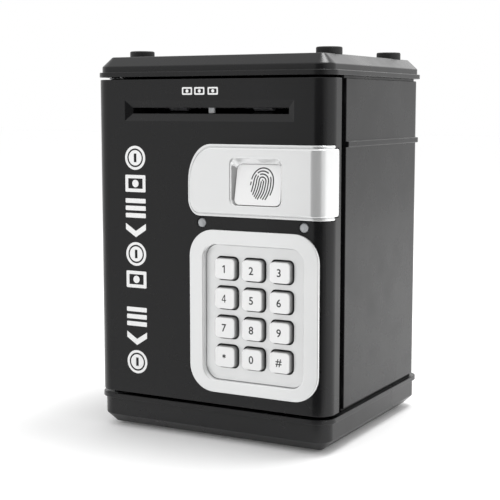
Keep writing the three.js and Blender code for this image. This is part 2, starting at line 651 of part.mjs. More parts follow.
// A contact strip at one end of the tray, with a spring cone on each negative end.
function batteryContact(side) {
  const face = side * (TRAY.x - TRAY.wall - GAP);
  const inner = face - side * CONTACT.thickness;
  const coneRoot = (face + inner) / 2;
  const reach = side * (CELL.length / 2 + GAP);
  const half = CONTACT.half;
  const strip = box(Math.min(face, inner), Math.max(face, inner), CELL.y - half, CELL.y + half,
    CELL_Z[0] - half, CELL_Z[2] + half);
  const cones = CELL_Z.flatMap((z, index) => {
    const negativeSide = index % 2 === 0 ? -1 : 1;
    if (negativeSide !== side) return [];
    const profile = [[0, reach], [CONTACT.coneTip, reach], [CONTACT.coneFoot, coneRoot], [0, coneRoot]];
    return [turned("x", CELL.y, z, profile, 10)];
  });
  return join(strip, ...cones);
}

function speaker() {
  const s = SPEAKER;
  const basket = s.front + 2.5;
  const rim = s.front + 3.5;
  return turned("y", s.x, s.z, [
    [0, s.front],
    [s.magnet, s.front],
    [s.magnet, basket],
    [s.radius - 2, rim],
    [s.radius, rim],
    [s.radius, s.back],
    [0, s.back],
  ], 20);
}

// ---- Banknote feeder ---------------------------------------------------------------------------------

// Where a roller starts and ends along its shaft, on the left (-1) or the right (1).
function rollerEnds(side) {
  const ends = FEED.rollerX.map((x) => side * x);
  return [Math.min(...ends), Math.max(...ends)];
}

function feederFrame() {
  const left = CHEEK.left;
  const right = CHEEK.right + CHEEK.thickness;
  const windows = [-1, 1].map((side) => {
    const [start, end] = rollerEnds(side);
    return box(start - GUIDE.windowSide, end + GUIDE.windowSide, FEED.y - GUIDE.windowHalf,
      FEED.y + GUIDE.windowHalf, GUIDE.bottom - PAST, GUIDE.top + PAST);
  });
  const guide = cut(box(left, right, GUIDE.front, GUIDE.back, GUIDE.bottom, GUIDE.top), ...windows);
  const leftCheek = box(left, left + CHEEK.thickness, LEFT_CHEEK.front, LEFT_CHEEK.back,
    LEFT_CHEEK.bottom, CHEEK.top);
  const rightCheek = box(CHEEK.right, right, RIGHT_CHEEK.front, RIGHT_CHEEK.back,
    RIGHT_CHEEK.bottom, CHEEK.top);
  const bridge = box(left, right, BRIDGE.front, BRIDGE.back, BRIDGE.bottom, CHEEK.top);
  const earX = [LEVER.x0 - EAR.gap - EAR.thickness, LEVER.x1 + EAR.gap];
  const ears = earX.map((x) => box(x, x + EAR.thickness, LEVER.y - EAR.half, LEVER.y + EAR.half,
    LEVER.z - EAR.drop, BRIDGE.bottom + PAST / 2));
  const hole = (axle, radius, from, to) => rod("x", axle.y, axle.z, radius + SLACK, from, to, 12);
  return cut(
    join(guide, leftCheek, rightCheek, bridge, ...ears),
    hole(FEED, FEED.shaft, left - PAST, right + PAST),
    hole(PINCH, PINCH.shaft, left - PAST, right + PAST),
    hole(MOTOR, MOTOR.shaft, CHEEK.right - PAST, right + PAST),
    hole(LEVER, LEVER.pin, earX[0] - PAST, earX[1] + EAR.thickness + PAST),
  );
}

function feedShaft() {
  return rod("x", FEED.y, FEED.z, FEED.shaft, CHEEK.left - 1, GEAR.x1 + 1, 12);
}

function feedRoller(side) {
  const [start, end] = rollerEnds(side);
  return cut(
    rod("x", FEED.y, FEED.z, FEED.roller, start, end, 24),
    rod("x", FEED.y, FEED.z, FEED.shaft + GAP, start - PAST, end + PAST, 12),
  );
}

// A spur gear outline with straight-sided teeth. One tooth points along the phase angle.
function gearShape(teeth, y, z, phase) {
  const pitchRadius = (GEAR.module * teeth) / 2;
  const root = pitchRadius - 1.15 * GEAR.module;
  const tip = pitchRadius + 0.8 * GEAR.module;
  const step = (2 * Math.PI) / teeth;
  const { rootShare, tipShare } = TOOTH;
  const corners = [[root, -rootShare], [tip, -tipShare], [tip, tipShare], [root, rootShare]];
  const points = Array.from({ length: teeth }, (_, tooth) =>
    corners.map(([r, share]) => {
      const angle = phase + (tooth + share) * step;
      return new THREE.Vector2(y + r * Math.cos(angle), z + r * Math.sin(angle));
    })).flat();
  return new THREE.Shape(points);
}

const MESH_ANGLE = Math.atan2(MOTOR.z - FEED.z, MOTOR.y - FEED.y);

function feedGear() {
  return cut(
    prism("x", gearShape(GEAR.teeth, FEED.y, FEED.z, MESH_ANGLE), GEAR.x0, GEAR.x1, 1),
    rod("x", FEED.y, FEED.z, FEED.shaft + GAP, GEAR.x0 - PAST, GEAR.x1 + PAST, 12),
  );
}

function motorPinion() {
  const gapPhase = MESH_ANGLE + Math.PI + Math.PI / PINION_TEETH;
  const wheel = prism("x", gearShape(PINION_TEETH, MOTOR.y, MOTOR.z, gapPhase), GEAR.x0, GEAR.x1, 1);
  const shaft = rod("x", MOTOR.y, MOTOR.z, MOTOR.shaft, MOTOR.x1 + GAP, GEAR.x0 + 0.5, 10);
  return join(wheel, shaft);
}

function feedMotor() {
  const m = MOTOR;
  const canStart = m.x0 + m.bossLength;
  const canEnd = m.x1 - GAP;
  return turned("x", m.y, m.z, [
    [0, m.x0],
    [m.boss, m.x0],
    [m.boss, canStart],
    [m.radius, canStart],
    [m.radius, canEnd - 0.7],
    [m.radius - 1, canEnd],
    [0, canEnd],
  ], 20);
}

function pinchRoller() {
  const rollers = [-1, 1].map((side) => rod("x", PINCH.y, PINCH.z, PINCH.roller, ...rollerEnds(side)));
  const end = CHEEK.right + CHEEK.thickness + GAP;
  return join(rod("x", PINCH.y, PINCH.z, PINCH.shaft, CHEEK.left - 1, end, 10), ...rollers);
}

function noteLever() {
  const l = LEVER;
  return join(
    rod("x", l.y, l.z, l.hub, l.x0, l.x1, 12),
    rod("x", l.y, l.z, l.pin, l.x0 - l.pinReach, l.x1 + l.pinReach, 10),
    box(l.x0, l.x1, l.y - l.arm, l.y + l.arm, l.tip, l.z),
  );
}

// ---- Lock --------------------------------------------------------------------------------------------

function lockSolenoid() {
  const s = SOLENOID;
  const f = SOLENOID_FOOT;
  const coil = box(s.x0, s.x1, s.y0, s.y1, BOLT.z - s.half, BOLT.z + s.half);
  const base = box(s.x0 + f.inset, s.x1 - f.inset, f.front, s.y1 - PAST, BOLT.z - f.half, BOLT.z + f.half);
  const bore = rod("x", BOLT.y, BOLT.z, BOLT.stem + GAP, BOLT.stemStart - 2, s.x1 + PAST, 12);
  return cut(join(coil, base), bore);
}

function lockBolt() {
  const b = BOLT;
  return join(
    box(b.x0, b.x1, b.y - b.half, b.y + b.half, b.z - b.half, b.z + b.half),
    rod("x", b.y, b.z, b.stem, b.stemStart, b.x0 + 0.5, 12),
  );
}

// The spring that pushes the bolt out: round wire wound on a helix about the stem.
function lockSpring() {
  const s = LOCK_SPRING;
  class Helix extends THREE.Curve {
    getPoint(t, target = new THREE.Vector3()) {
      const angle = t * s.turns * 2 * Math.PI;
      return target.set(
        s.x0 + t * (s.x1 - s.x0),
        BOLT.y + s.radius * Math.cos(angle),
        BOLT.z + s.radius * Math.sin(angle),
      );
    }
  }
  const wire = new THREE.Shape().absarc(0, 0, s.wire, 0, 2 * Math.PI);
  const stepsPerTurn = 10;
  const geometry = new THREE.ExtrudeGeometry(wire, {
    extrudePath: new Helix(),
    steps: s.turns * stepsPerTurn,
    curveSegments: 3,
  });
  return solid(geometry);
}

// ---- Assembly ----------------------------------------------------------------------------------------

function add(group, name, made, material) {
  const mesh = new THREE.Mesh(geometryOf(made), material);
  mesh.name = name;
  group.add(mesh);
}

function buildCase() {
  const group = new THREE.Group();
  add(group, "casing_shell", casingShell(), BLACK_PLASTIC);
  add(group, "top_cap", topCap(), BLACK_PLASTIC);
  add(group, "base_cap", baseCap(), BLACK_PLASTIC);
  ["front", "rear"].forEach((row, j) => {
    ["left", "right"].forEach((side, i) => {
      const way = 2 * i - 1;
      add(group, `top_stud_${row}_${side}`, topStud(way * STUD_X, STUD_Y[j]), BLACK_RUBBER);
      add(group, `foot_${row}_${side}`, foot(way * FOOT.x, FOOT.y[j]), BLACK_RUBBER);
    });
  });
  add(group, "hinge_pin_upper", hingePin(DOOR.top, CAP.bottom, CAP.bottom + LEDGE), STEEL);
  add(group, "hinge_pin_lower", hingePin(DOOR.bottom, BASE.top, BASE.top - LEDGE), STEEL);
  add(group, "strike_plate", strikePlate(), STEEL);
  return group;
}

function buildDoor() {
  const group = new THREE.Group();
  add(group, "door_front_shell", doorFrontShell(), BLACK_PLASTIC);
  add(group, "door_back_cover", doorBackCover(), INNER_PLASTIC);
  add(group, "handle_band", handleBand(), SILVER_PAINT);
  add(group, "fingerprint_pad", fingerprintPad(), KEY_PLASTIC);
  add(group, "led_lens_left", ledLens(LED.x[0]), CLEAR_LENS);
  add(group, "led_lens_right", ledLens(LED.x[1]), CLEAR_LENS);
  add(group, "keypad_bezel", keypadBezel(), SILVER_PAINT);
  keyCentres().forEach(([x, z], index) => add(group, "key_" + KEY_NAMES[index], keyCap(x, z), KEY_PLASTIC));
  add(group, "keypad_mat", keypadMat(), GREY_RUBBER);
  add(group, "circuit_board", circuitBoard(), BOARD_GREEN);
  COVER_SCREWS.forEach((place, index) =>
    add(group, "cover_screw_" + (index + 1), coverScrew(place), STEEL));
  return group;
}

function buildPower() {
  const group = new THREE.Group();
  CELL_Z.forEach((_, index) => add(group, "battery_cell_" + (index + 1), batteryCell(index), CELL_SLEEVE));
  add(group, "battery_contact_left", batteryContact(-1), BRASS);
  add(group, "battery_contact_right", batteryContact(1), BRASS);
  add(group, "battery_cover", batteryCover(), INNER_PLASTIC);
  add(group, "speaker", speaker(), INNER_PLASTIC);
  return group;
}

function buildFeeder() {
  const group = new THREE.Group();
  add(group, "feeder_frame", feederFrame(), LIGHT_PLASTIC);
  add(group, "feed_shaft", feedShaft(), STEEL);
  add(group, "feed_roller_left", feedRoller(-1), BLACK_RUBBER);
  add(group, "feed_roller_right", feedRoller(1), BLACK_RUBBER);
  add(group, "feed_gear", feedGear(), LIGHT_PLASTIC);
  add(group, "feed_motor", feedMotor(), STEEL);
  add(group, "motor_pinion", motorPinion(), BRASS);
  add(group, "pinch_roller", pinchRoller(), GREY_RUBBER);
  add(group, "note_lever", noteLever(), LIGHT_PLASTIC);
  return group;
}

function buildLock() {
  const group = new THREE.Group();
  add(group, "lock_solenoid", lockSolenoid(), STEEL);
  add(group, "lock_bolt", lockBolt(), STEEL);
  add(group, "lock_spring", lockSpring(), STEEL);
  return group;
}

const bank = new THREE.Group();
bank.add(buildCase(), buildDoor(), buildPower(), buildFeeder(), buildLock());

export default bank;
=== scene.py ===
# %% [markdown]
# # A toy savings bank with a note feeder
# The bank is a moulded box with a hinged door. The door carries a banknote slot, a silver handle band
# with a finger pad, two lamps and a keypad. The frame loaded here is the working model: it knows where
# every piece is and how it moves. This script gives each piece its fine surface and its finish.

# %% Load the frame
import math

import bmesh
import bpy
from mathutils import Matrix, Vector


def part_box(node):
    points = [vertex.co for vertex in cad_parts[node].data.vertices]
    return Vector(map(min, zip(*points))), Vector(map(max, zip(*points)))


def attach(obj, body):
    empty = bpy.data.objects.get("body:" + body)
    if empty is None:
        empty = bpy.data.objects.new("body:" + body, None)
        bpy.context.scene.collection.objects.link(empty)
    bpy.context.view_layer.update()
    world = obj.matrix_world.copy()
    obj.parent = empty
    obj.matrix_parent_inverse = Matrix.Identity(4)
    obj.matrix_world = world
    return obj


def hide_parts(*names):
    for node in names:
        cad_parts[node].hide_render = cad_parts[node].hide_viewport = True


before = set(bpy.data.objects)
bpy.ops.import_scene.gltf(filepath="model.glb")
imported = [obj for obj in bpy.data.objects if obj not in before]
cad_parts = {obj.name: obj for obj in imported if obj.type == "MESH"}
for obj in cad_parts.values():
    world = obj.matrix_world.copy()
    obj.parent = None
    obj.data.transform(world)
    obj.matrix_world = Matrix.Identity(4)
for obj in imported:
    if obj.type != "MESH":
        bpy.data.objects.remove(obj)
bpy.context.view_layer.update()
MM = 0.001


def corners_of(node):
    """The lowest and highest corner of a node, in millimetres."""
    low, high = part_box(node)
    return Vector(low) / MM, Vector(high) / MM


def middle_of(node):
    low, high = corners_of(node)
    return (low + high) / 2


def metres(x, y, z):
    """A place or a size in millimetres as a tuple in metres."""
    return tuple(Vector((x, y, z)) * MM)


# %% [markdown]
# ## Camera
# The bank is seen from its right and a little above its middle, from about 60 cm away. A long lens keeps
# its upright edges almost parallel.

# %% Camera
camera_data = bpy.data.cameras.new("camera")
camera_data.lens = 86.36
camera_data.sensor_width = 36.0
camera = bpy.data.objects.new("camera", camera_data)
camera.location = (0.2910, -0.5486, 0.1617)
camera.rotation_euler = (math.radians(90 - 6.814), 0, math.radians(28.576))
bpy.context.scene.collection.objects.link(camera)
bpy.context.scene.camera = camera
bpy.context.scene.view_settings.view_transform = "Standard"
print("camera", [round(v, 3) for v in camera.location])

# %% [markdown]
# ## Outlines and paths
# Nearly every moulding here is a flat outline pushed along one axis, with its edges rounded over. So one
# helper draws a rounded rectangle, and a second rounds the corners of a path. A path is the side view of
# an edge: how far in the outline is drawn, at each place along the axis.


# %% Outline helpers
def rounded_rectangle(x0, x1, y0, y1, radii, steps=8):
    """Points round a rectangle. radii is one radius, or one per corner from the lower left round."""
    radii = radii if isinstance(radii, (list, tuple)) else [radii] * 4
    pairs = [r if isinstance(r, tuple) else (r, r) for r in radii]
    corners = [(x0, y0, 1, 1, 180), (x1, y0, -1, 1, 270), (x1, y1, -1, -1, 0), (x0, y1, 1, -1, 90)]
    points = []
    for (x, y, right, up, start), (across, tall) in zip(corners, pairs):
        across, tall = max(across, 0.02), max(tall, 0.02)
        for step in range(steps + 1):
            turn = math.radians(start + 90 * step / steps)
            points.append((x + across * (right + math.cos(turn)), y + tall * (up + math.sin(turn))))
    return points


def eased(corners, radius, steps=4):
    """A path through the corners in which every turn is rounded."""
    corners = [Vector(c) for c in corners]
    radii = radius if isinstance(radius, (list, tuple)) else [radius] * (len(corners) - 2)
    path = [corners[0]]
    for before, at, after, r in zip(corners, corners[1:], corners[2:], radii):
        back, on = before - at, after - at
        reach = r / max(math.tan(back.angle(on) / 2), 0.05)
        reach = min(reach, 0.49 * back.length, 0.49 * on.length)
        start, end = at + back.normalized() * reach, at + on.normalized() * reach
        for step in range(steps + 1):
            t = step / steps
            path.append(start * (1 - t) ** 2 + at * (2 * t * (1 - t)) + end * t * t)
    return path + [corners[-1]]


print("a rounded rectangle has", len(rounded_rectangle(0, 10, 0, 5, 1)), "points")

# %% [markdown]
# ## Skins from rings
# A skin is a stack of rings with the same number of points, closed at both ends. Where each ring is the
# outline drawn a little further in, the edge comes out round and its faces stay in neat rows.

# %% Skin helpers
PLACE = {
    "x": lambda a, b, along: (along, a, b),
    "y": lambda a, b, along: (a, along, b),
    "z": lambda a, b, along: (a, b, along),
}


def new_piece(name, points, faces):
    """A mesh object from points in millimetres, with its doubles merged and its faces turned outwards."""
    mesh = bpy.data.meshes.new(name)
    mesh.from_pydata([Vector(p) * MM for p in points], [], faces)
    work = bmesh.new()
    work.from_mesh(mesh)
    bmesh.ops.remove_doubles(work, verts=work.verts, dist=2e-6)
    bmesh.ops.recalc_face_normals(work, faces=work.faces)
    work.to_mesh(mesh)
    work.free()
    piece = bpy.data.objects.new(name, mesh)
    bpy.context.scene.collection.objects.link(piece)
    return piece


def skin(name, rings):
    """A closed skin through rings of points."""
    count = len(rings[0])
    points = [p for ring in rings for p in ring]
    faces = [tuple(range(count)), tuple(range(len(points) - count, len(points)))]
    for low in range(0, len(points) - count, count):
        for i in range(count):
            j = (i + 1) % count
            faces.append((low + i, low + j, low + count + j, low + count + i))
    return new_piece(name, points, faces)


def stacked(name, axis, outline, path):
    """outline(inset) gives a ring's points. path is a list of (inset, place along the axis)."""
    put = PLACE[axis]
    return skin(name, [[put(a, b, along) for a, b in outline(inset)] for inset, along in path])


def slab(name, axis, outline, low, high, edge_low=0.0, edge_high=0.0, steps=4):
    """An outline pushed from low to high, with rounded edges."""
    deep = 1.0
    path = eased([(edge_low + deep, low), (0, low), (0, high), (edge_high + deep, high)],
                 [edge_low or 0.001, edge_high or 0.001], steps)
    return stacked(name, axis, outline, path[1:-1])


def rectangle(x0, x1, y0, y1, radius, steps=8):
    """An outline maker for a plain rounded rectangle."""
    def outline(inset):
        return rounded_rectangle(x0 + inset, x1 - inset, y0 + inset, y1 - inset, radius - inset, steps)
    return outline


def block(name, x0, x1, y0, y1, z0, z1, edge=0.01):
    """A box with all its edges eased."""
    return slab(name, "z", rectangle(x0, x1, y0, y1, edge, 3), z0, z1, edge, edge, 3)


def turned(name, axis, a, b, path, sides=48):
    """A turned piece. path is a list of (radius, place along the axis)."""
    def outline(radius):
        turns = [2 * math.pi * k / sides for k in range(sides)]
        return [(a + max(radius, 0.001) * math.cos(t), b + max(radius, 0.001) * math.sin(t)) for t in turns]
    return stacked(name, axis, outline, path)


def peg(name, axis, a, b, radius, low, high, sides=32):
    return turned(name, axis, a, b, [(radius, low), (radius, high)], sides)


# %% [markdown]
# ## Joining, cutting and finishing
# Pockets and holes are cut with Blender's exact Boolean, and the cutters carry flared rims where an edge
# should be soft. The last helper gives a piece its material, its smooth shading and its body. It weights
# the normals by face area, so that a large flat face stays flat right up to its rounded edge.


# %% Boolean and finishing helpers
def bake(piece):
    """Makes what the modifiers show the piece's own mesh, and takes the modifiers off."""
    graph = bpy.context.evaluated_depsgraph_get()
    made = bpy.data.meshes.new_from_object(piece.evaluated_get(graph), depsgraph=graph)
    before = piece.data
    piece.modifiers.clear()
    piece.data = made
    bpy.data.meshes.remove(before)
    made.name = piece.name
    return piece


def combine(piece, operation, tools):
    for tool in tools:
        step = piece.modifiers.new("combine", "BOOLEAN")
        step.operation = operation
        step.solver = "EXACT"
        step.object = tool
        bake(piece)
        bpy.data.objects.remove(tool)
    return piece


def carve(piece, *tools):
    return combine(piece, "DIFFERENCE", tools)


def weld(piece, *tools):
    return combine(piece, "UNION", tools)


def move_points(piece, rule):
    """Puts every point of a piece, in millimetres, where the rule says."""
    for vertex in piece.data.vertices:
        vertex.co = Vector(rule(vertex.co / MM)) * MM
    return piece


def finish(piece, material, body, slot, *stands_for, sharp=35):
    """Material, smooth shading and body, and the nodes that the piece stands for. slot is not used."""
    mesh = piece.data
    mesh.materials.clear()
    mesh.materials.append(material)
    for polygon in mesh.polygons:
        polygon.material_index = 0
        polygon.use_smooth = True
    mesh.set_sharp_from_angle(angle=math.radians(sharp))
    even = piece.modifiers.new("even", "WEIGHTED_NORMAL")
    even.keep_sharp = True
    bake(piece)
    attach(piece, body)
    if stands_for:
        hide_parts(*stands_for)
    return piece


# %% [markdown]
# ## Finishes
# A moulded plastic is never one flat value: its roughness drifts a little over the piece, and a fine
# grain from the mould breaks up its highlights. Each finish is a Principled shader whose roughness and
# bump come from noises in object space, so the grain has a real size and stays with its piece.


# %% Finishes
def fill(node, **values):
    """Sets a shader node's inputs. The spaces in their names are written as underscores."""
    for label, value in values.items():
        node.inputs[label.replace("_", " ")].default_value = value
    return node


def grained(name, color, roughness, grain=0.3, grain_size=0.35, depth=0.01, metallic=0.0, specular=0.5,
            drift=0.05, coat=0.0, stretch=(1, 1, 1), tones=None):
    """A moulded, painted or drawn surface. grain_size and depth are in millimetres, and so are the depths
    y in tones, a list of (y, colour) that shades the surface from its front to its back."""
    material = bpy.data.materials.new(name)
    material.use_nodes = True
    nodes, links = material.node_tree.nodes, material.node_tree.links
    shader = fill(nodes["Principled BSDF"], Base_Color=(*color, 1), Metallic=metallic,
                  Specular_IOR_Level=specular, Coat_Weight=coat, Coat_Roughness=0.12)
    place = nodes.new("ShaderNodeTexCoord").outputs["Object"]
    draw = fill(nodes.new("ShaderNodeMapping"), Scale=[1.0 / s for s in stretch])
    cloud = fill(nodes.new("ShaderNodeTexNoise"), Scale=45.0, Detail=4.0)
    spread = fill(nodes.new("ShaderNodeMapRange"), From_Min=0.3, From_Max=0.7, To_Min=roughness - drift,
                  To_Max=roughness + drift)
    fine = fill(nodes.new("ShaderNodeTexNoise"), Scale=1.0 / (grain_size * MM), Detail=2.0)
    bump = fill(nodes.new("ShaderNodeBump"), Strength=grain, Distance=depth * MM)
    links.new(place, cloud.inputs["Vector"])
    links.new(place, draw.inputs["Vector"])
    links.new(draw.outputs["Vector"], fine.inputs["Vector"])
    links.new(cloud.outputs["Fac"], spread.inputs["Value"])
    links.new(spread.outputs["Result"], shader.inputs["Roughness"])
    links.new(fine.outputs["Fac"], bump.inputs["Height"])
    links.new(bump.outputs["Normal"], shader.inputs["Normal"])
    if tones:
        nearest, furthest = tones[0][0], tones[-1][0]
        parts = nodes.new("ShaderNodeSeparateXYZ")
        share = fill(nodes.new("ShaderNodeMapRange"), From_Min=nearest * MM, From_Max=furthest * MM)
        ramp = nodes.new("ShaderNodeValToRGB")
        stops = ramp.color_ramp.elements
        while len(stops) < len(tones):
            stops.new(0.5)
        for stop, (y, shade) in zip(stops, tones):
            stop.position = (y - nearest) / (furthest - nearest)
            stop.color = (*shade, 1)
        links.new(place, parts.inputs["Vector"])
        links.new(parts.outputs["Y"], share.inputs["Value"])
        links.new(share.outputs["Result"], ramp.inputs["Fac"])
        links.new(ramp.outputs["Color"], shader.inputs["Base Color"])
    return material


black_plastic = grained("satin_black_plastic", (0.006, 0.006, 0.0065), 0.28, specular=0.38)
cap_plastic = grained("satin_black_cap_plastic", (0.007, 0.007, 0.0075), 0.28, specular=0.38)
wall_plastic = grained("satin_black_wall_plastic", (0.006, 0.006, 0.0065), 0.28, specular=0.31)
inner_plastic = grained("matte_black_plastic", (0.012, 0.012, 0.013), 0.55, grain_size=0.5, depth=0.02,
                        specular=0.25)
stud_rubber = grained("black_rubber", (0.008, 0.008, 0.008), 0.6, grain_size=0.3, depth=0.02)
SILVER = (0.90, 0.905, 0.905)
silver_paint = grained("silver_paint", SILVER, 0.24, grain=0.12, grain_size=0.2, depth=0.006, metallic=0.68,
                       drift=0.03)
pocket_wall_painted_shade_plastic = grained("grey_painted_shade_plastic", (0.30, 0.30, 0.30), 0.5, grain=0.2)
pad_plastic = grained("white_pad_plastic", (0.80, 0.80, 0.80), 0.38, grain=0.2, drift=0.04)
lamp_lens = grained("clear_lens", (0.34, 0.35, 0.36), 0.14, grain=0.05, drift=0.02, coat=0.6)
mat_rubber = grained("grey_silicone", (0.22, 0.22, 0.23), 0.6)
roller_rubber = grained("roller_rubber", (0.018, 0.018, 0.018), 0.7, grain=0.6, grain_size=0.25, depth=0.03,
                        specular=0.2)
board_green = grained("green_board", (0.012, 0.11, 0.04), 0.35, grain=0.15)
pale_nylon = grained("pale_nylon", (0.48, 0.49, 0.50), 0.45, drift=0.06)
cell_sleeve = grained("cell_sleeve", (0.04, 0.12, 0.25), 0.28, grain=0.05, coat=0.5)
bright_steel = grained("bright_steel", (0.58, 0.59, 0.60), 0.28, metallic=1.0, stretch=(1, 1, 40))
zinc_can = grained("zinc_can", (0.50, 0.51, 0.52), 0.38, metallic=1.0, stretch=(40, 1, 1))
pinion_brass = grained("turned_brass", (0.70, 0.48, 0.17), 0.26, metallic=1.0, stretch=(30, 1, 1))
white_print = grained("white_print", (0.80, 0.80, 0.80), 0.5, grain=0.1, drift=0.02)
dark_print = grained("dark_print", (0.022, 0.022, 0.024), 0.5, grain=0.1, drift=0.02)
print("finishes", len(bpy.data.materials))

# %% [markdown]
# ## Case: caps
# The top and base caps are the same kind of moulding. A flat band runs round each one, a thin rim stands
# proud of it where it meets the walls, and a wide chamfer leads to the flat face. The cap is a stack of
# rings that follows that side view, and its hollow, its coin slot and its sockets are then cut out.

# %% Caps
shell_low, shell_high = corners_of("casing_shell")
cap_low, cap_high = corners_of("top_cap")
base_low, base_high = corners_of("base_cap")
RIM = 1.4
BAND_RADIUS = 7.5
CHAMFER = (5.1, 4.85)
ROOF = 2.8
LEDGE = 2.45
RIM_HEIGHT = 2.35
HINGE = Vector((-56.0, -51.0))
band_x, band_y0, band_y1 = cap_high.x - RIM, cap_low.y + RIM, cap_high.y - RIM


def cap_outline(inset):
    return rounded_rectangle(-band_x + inset, band_x - inset, band_y0 + inset, band_y1 - inset,
                             BAND_RADIUS - inset, 10)


def cap_side(flat, mouth):
    """The side view of a cap, from the middle of its flat face to its mouth."""
    way = 1 if mouth > flat else -1
    rim = mouth - way * RIM_HEIGHT
    corners = [(CHAMFER[0] + 8, flat), (CHAMFER[0], flat), (0, flat + way * CHAMFER[1]), (0, rim),
               (-RIM, rim), (-RIM, mouth), (3, mouth)]
    return eased(corners, [1.1, 1.1, 0.25, 0.35, 0.35], 5)


wall_x, wall_front, wall_back = 63.2, shell_low.y + 2.7, 57.9
LIP_INSET = 1.3
FIT = 0.3


def wall_outline(inset, front=wall_front):
    """The plan of the walls: open towards the door, rounded at the back."""
    r = 6.7 - inset
    return rounded_rectangle(-wall_x + inset, wall_x - inset, front, wall_back - inset, [0.4, 0.4, r, r], 10)


def cap(name, flat, mouth):
    way = 1 if mouth > flat else -1
    piece = stacked(name, "z", cap_outline, cap_side(flat, mouth))
    low, high = sorted((flat + way * ROOF, mouth - way * LEDGE))
    hollow = slab("hollow", "z", lambda i: cap_outline(6.0 + i), low, high, 1.0, 1.0)
    low, high = sorted((flat + way * 6.1, mouth + way))
    pocket = slab("pocket", "z", lambda i: wall_outline(LIP_INSET - FIT + i, wall_front - 1.2), low, high)
    low, high = sorted((mouth - way * 4, mouth + way))
    pin_hole = peg("pin_hole", "z", *HINGE, 2.3, low, high)
    return carve(piece, hollow, pocket, pin_hole)


top_cap = cap("top_cap_body", cap_high.z, cap_low.z)
base_cap = cap("base_cap_body", base_low.z, base_high.z)
STUD_NODES = ["top_stud_front_left", "top_stud_front_right", "top_stud_rear_left", "top_stud_rear_right"]
FOOT_NODES = ["foot_front_left", "foot_front_right", "foot_rear_left", "foot_rear_right"]
STUD_SOCKET, FOOT_SOCKET = 6.5, 6.3
for node in STUD_NODES:
    centre = middle_of(node)
    socket_side = [(STUD_SOCKET, cap_high.z - 1.1), (STUD_SOCKET, cap_high.z - 0.3),
                   (STUD_SOCKET + 0.3, cap_high.z + 0.01), (STUD_SOCKET + 0.3, cap_high.z + 1)]
    carve(top_cap, turned("socket", "z", centre.x, centre.y, socket_side))
for node in FOOT_NODES:
    centre = middle_of(node)
    carve(base_cap, peg("socket", "z", centre.x, centre.y, FOOT_SOCKET, base_low.z - 1, base_low.z + 1.3, 48))
print("top cap", len(top_cap.data.polygons), "faces")

# %% [markdown]
# The coin slot is a rounded slit with a shallow funnel round it, so that a coin finds its way in. The
# funnel is part of the cutter: its rings grow as they near the cap's face.

# %% Coin slot
slot_y, SLOT_LONG, SLOT_WIDE = 22.0, 34, 5
slot_side = eased([(0, cap_high.z - ROOF - 2), (0, cap_high.z - 0.9), (-1.0, cap_high.z),
                   (-2.0, cap_high.z + 1)], [0.6, 0.1])
slot_outline = rectangle(-SLOT_LONG / 2, SLOT_LONG / 2, slot_y - SLOT_WIDE / 2, slot_y + SLOT_WIDE / 2, 2.0)
carve(top_cap, stacked("coin_slot", "z", slot_outline, slot_side))
finish(top_cap, cap_plastic, "case", "black_case", "top_cap")
finish(base_cap, cap_plastic, "case", "black_case", "base_cap")
print("slot cut at y", slot_y)

# %% [markdown]
# ## Case: walls
# One shell makes both sides and the back. A thin lip at each end plugs into the caps, and a belt runs
# round the outside. It starts as a solid stack of rings, then its inside is cut out, and a collar that the
# door closes against is added at the front.

# %% Walls
BELT_BOTTOM, BELT_TOP, BELT_PROUD = 143.0, 145.7, 1.4
belt_side = eased([(0, BELT_BOTTOM - 1), (0, BELT_BOTTOM), (-BELT_PROUD, BELT_BOTTOM),
                   (-BELT_PROUD, BELT_TOP), (0, BELT_TOP), (0, BELT_TOP + 1)], [0.2, 0.45, 0.45, 0.2], 3)
wall_bottom, wall_top = 18.7, 174.9
wall_side = ([(LIP_INSET + 0.3, shell_low.z), (LIP_INSET, shell_low.z + 0.3), (LIP_INSET, wall_bottom)]
             + eased([(LIP_INSET, wall_bottom), (0, wall_bottom), (0, wall_bottom + 3)], 0.4, 3)[1:]
             + [tuple(p) for p in belt_side]
             + eased([(0, wall_top - 3), (0, wall_top), (LIP_INSET, wall_top)], 0.4, 3)
             + [(LIP_INSET, shell_high.z - 0.3), (LIP_INSET + 0.3, shell_high.z)])
walls = stacked("case_walls", "z", wall_outline, wall_side)
WALL = 2.5
inside = slab("inside", "z", lambda i: wall_outline(WALL + i, wall_front - 3), 0, cap_high.z)
carve(walls, inside)
collar = slab("collar", "y", rectangle(-61.1, 61.1, 19.1, 174.5, 2.0), shell_low.y, -35.0, 0.4, 0.4)
collar_mouth = stacked("collar_mouth", "y", rectangle(-57.5, 57.5, 22.4, 171.3, 2.5),
                       eased([(-1.5, shell_low.y - 1), (0, shell_low.y + 0.4), (0, -33.5)], 0.5))
carve(collar, collar_mouth)
weld(walls, collar)
print("walls", len(walls.data.polygons), "faces")

# %% [markdown]
# Seen with the door open, the inside of the back wall has moulded ribs that stiffen it. They repeat at an
# even pitch, so a small Geometry Nodes tree places them: a line of points, one rib on each point. The
# helpers here build such trees. A tree's inputs carry names, and the modifier sets them by identifier.


# %% Geometry Nodes helpers
SOCKET_KINDS = {int: "NodeSocketInt", float: "NodeSocketFloat", tuple: "NodeSocketVector",
                type(None): "NodeSocketGeometry"}


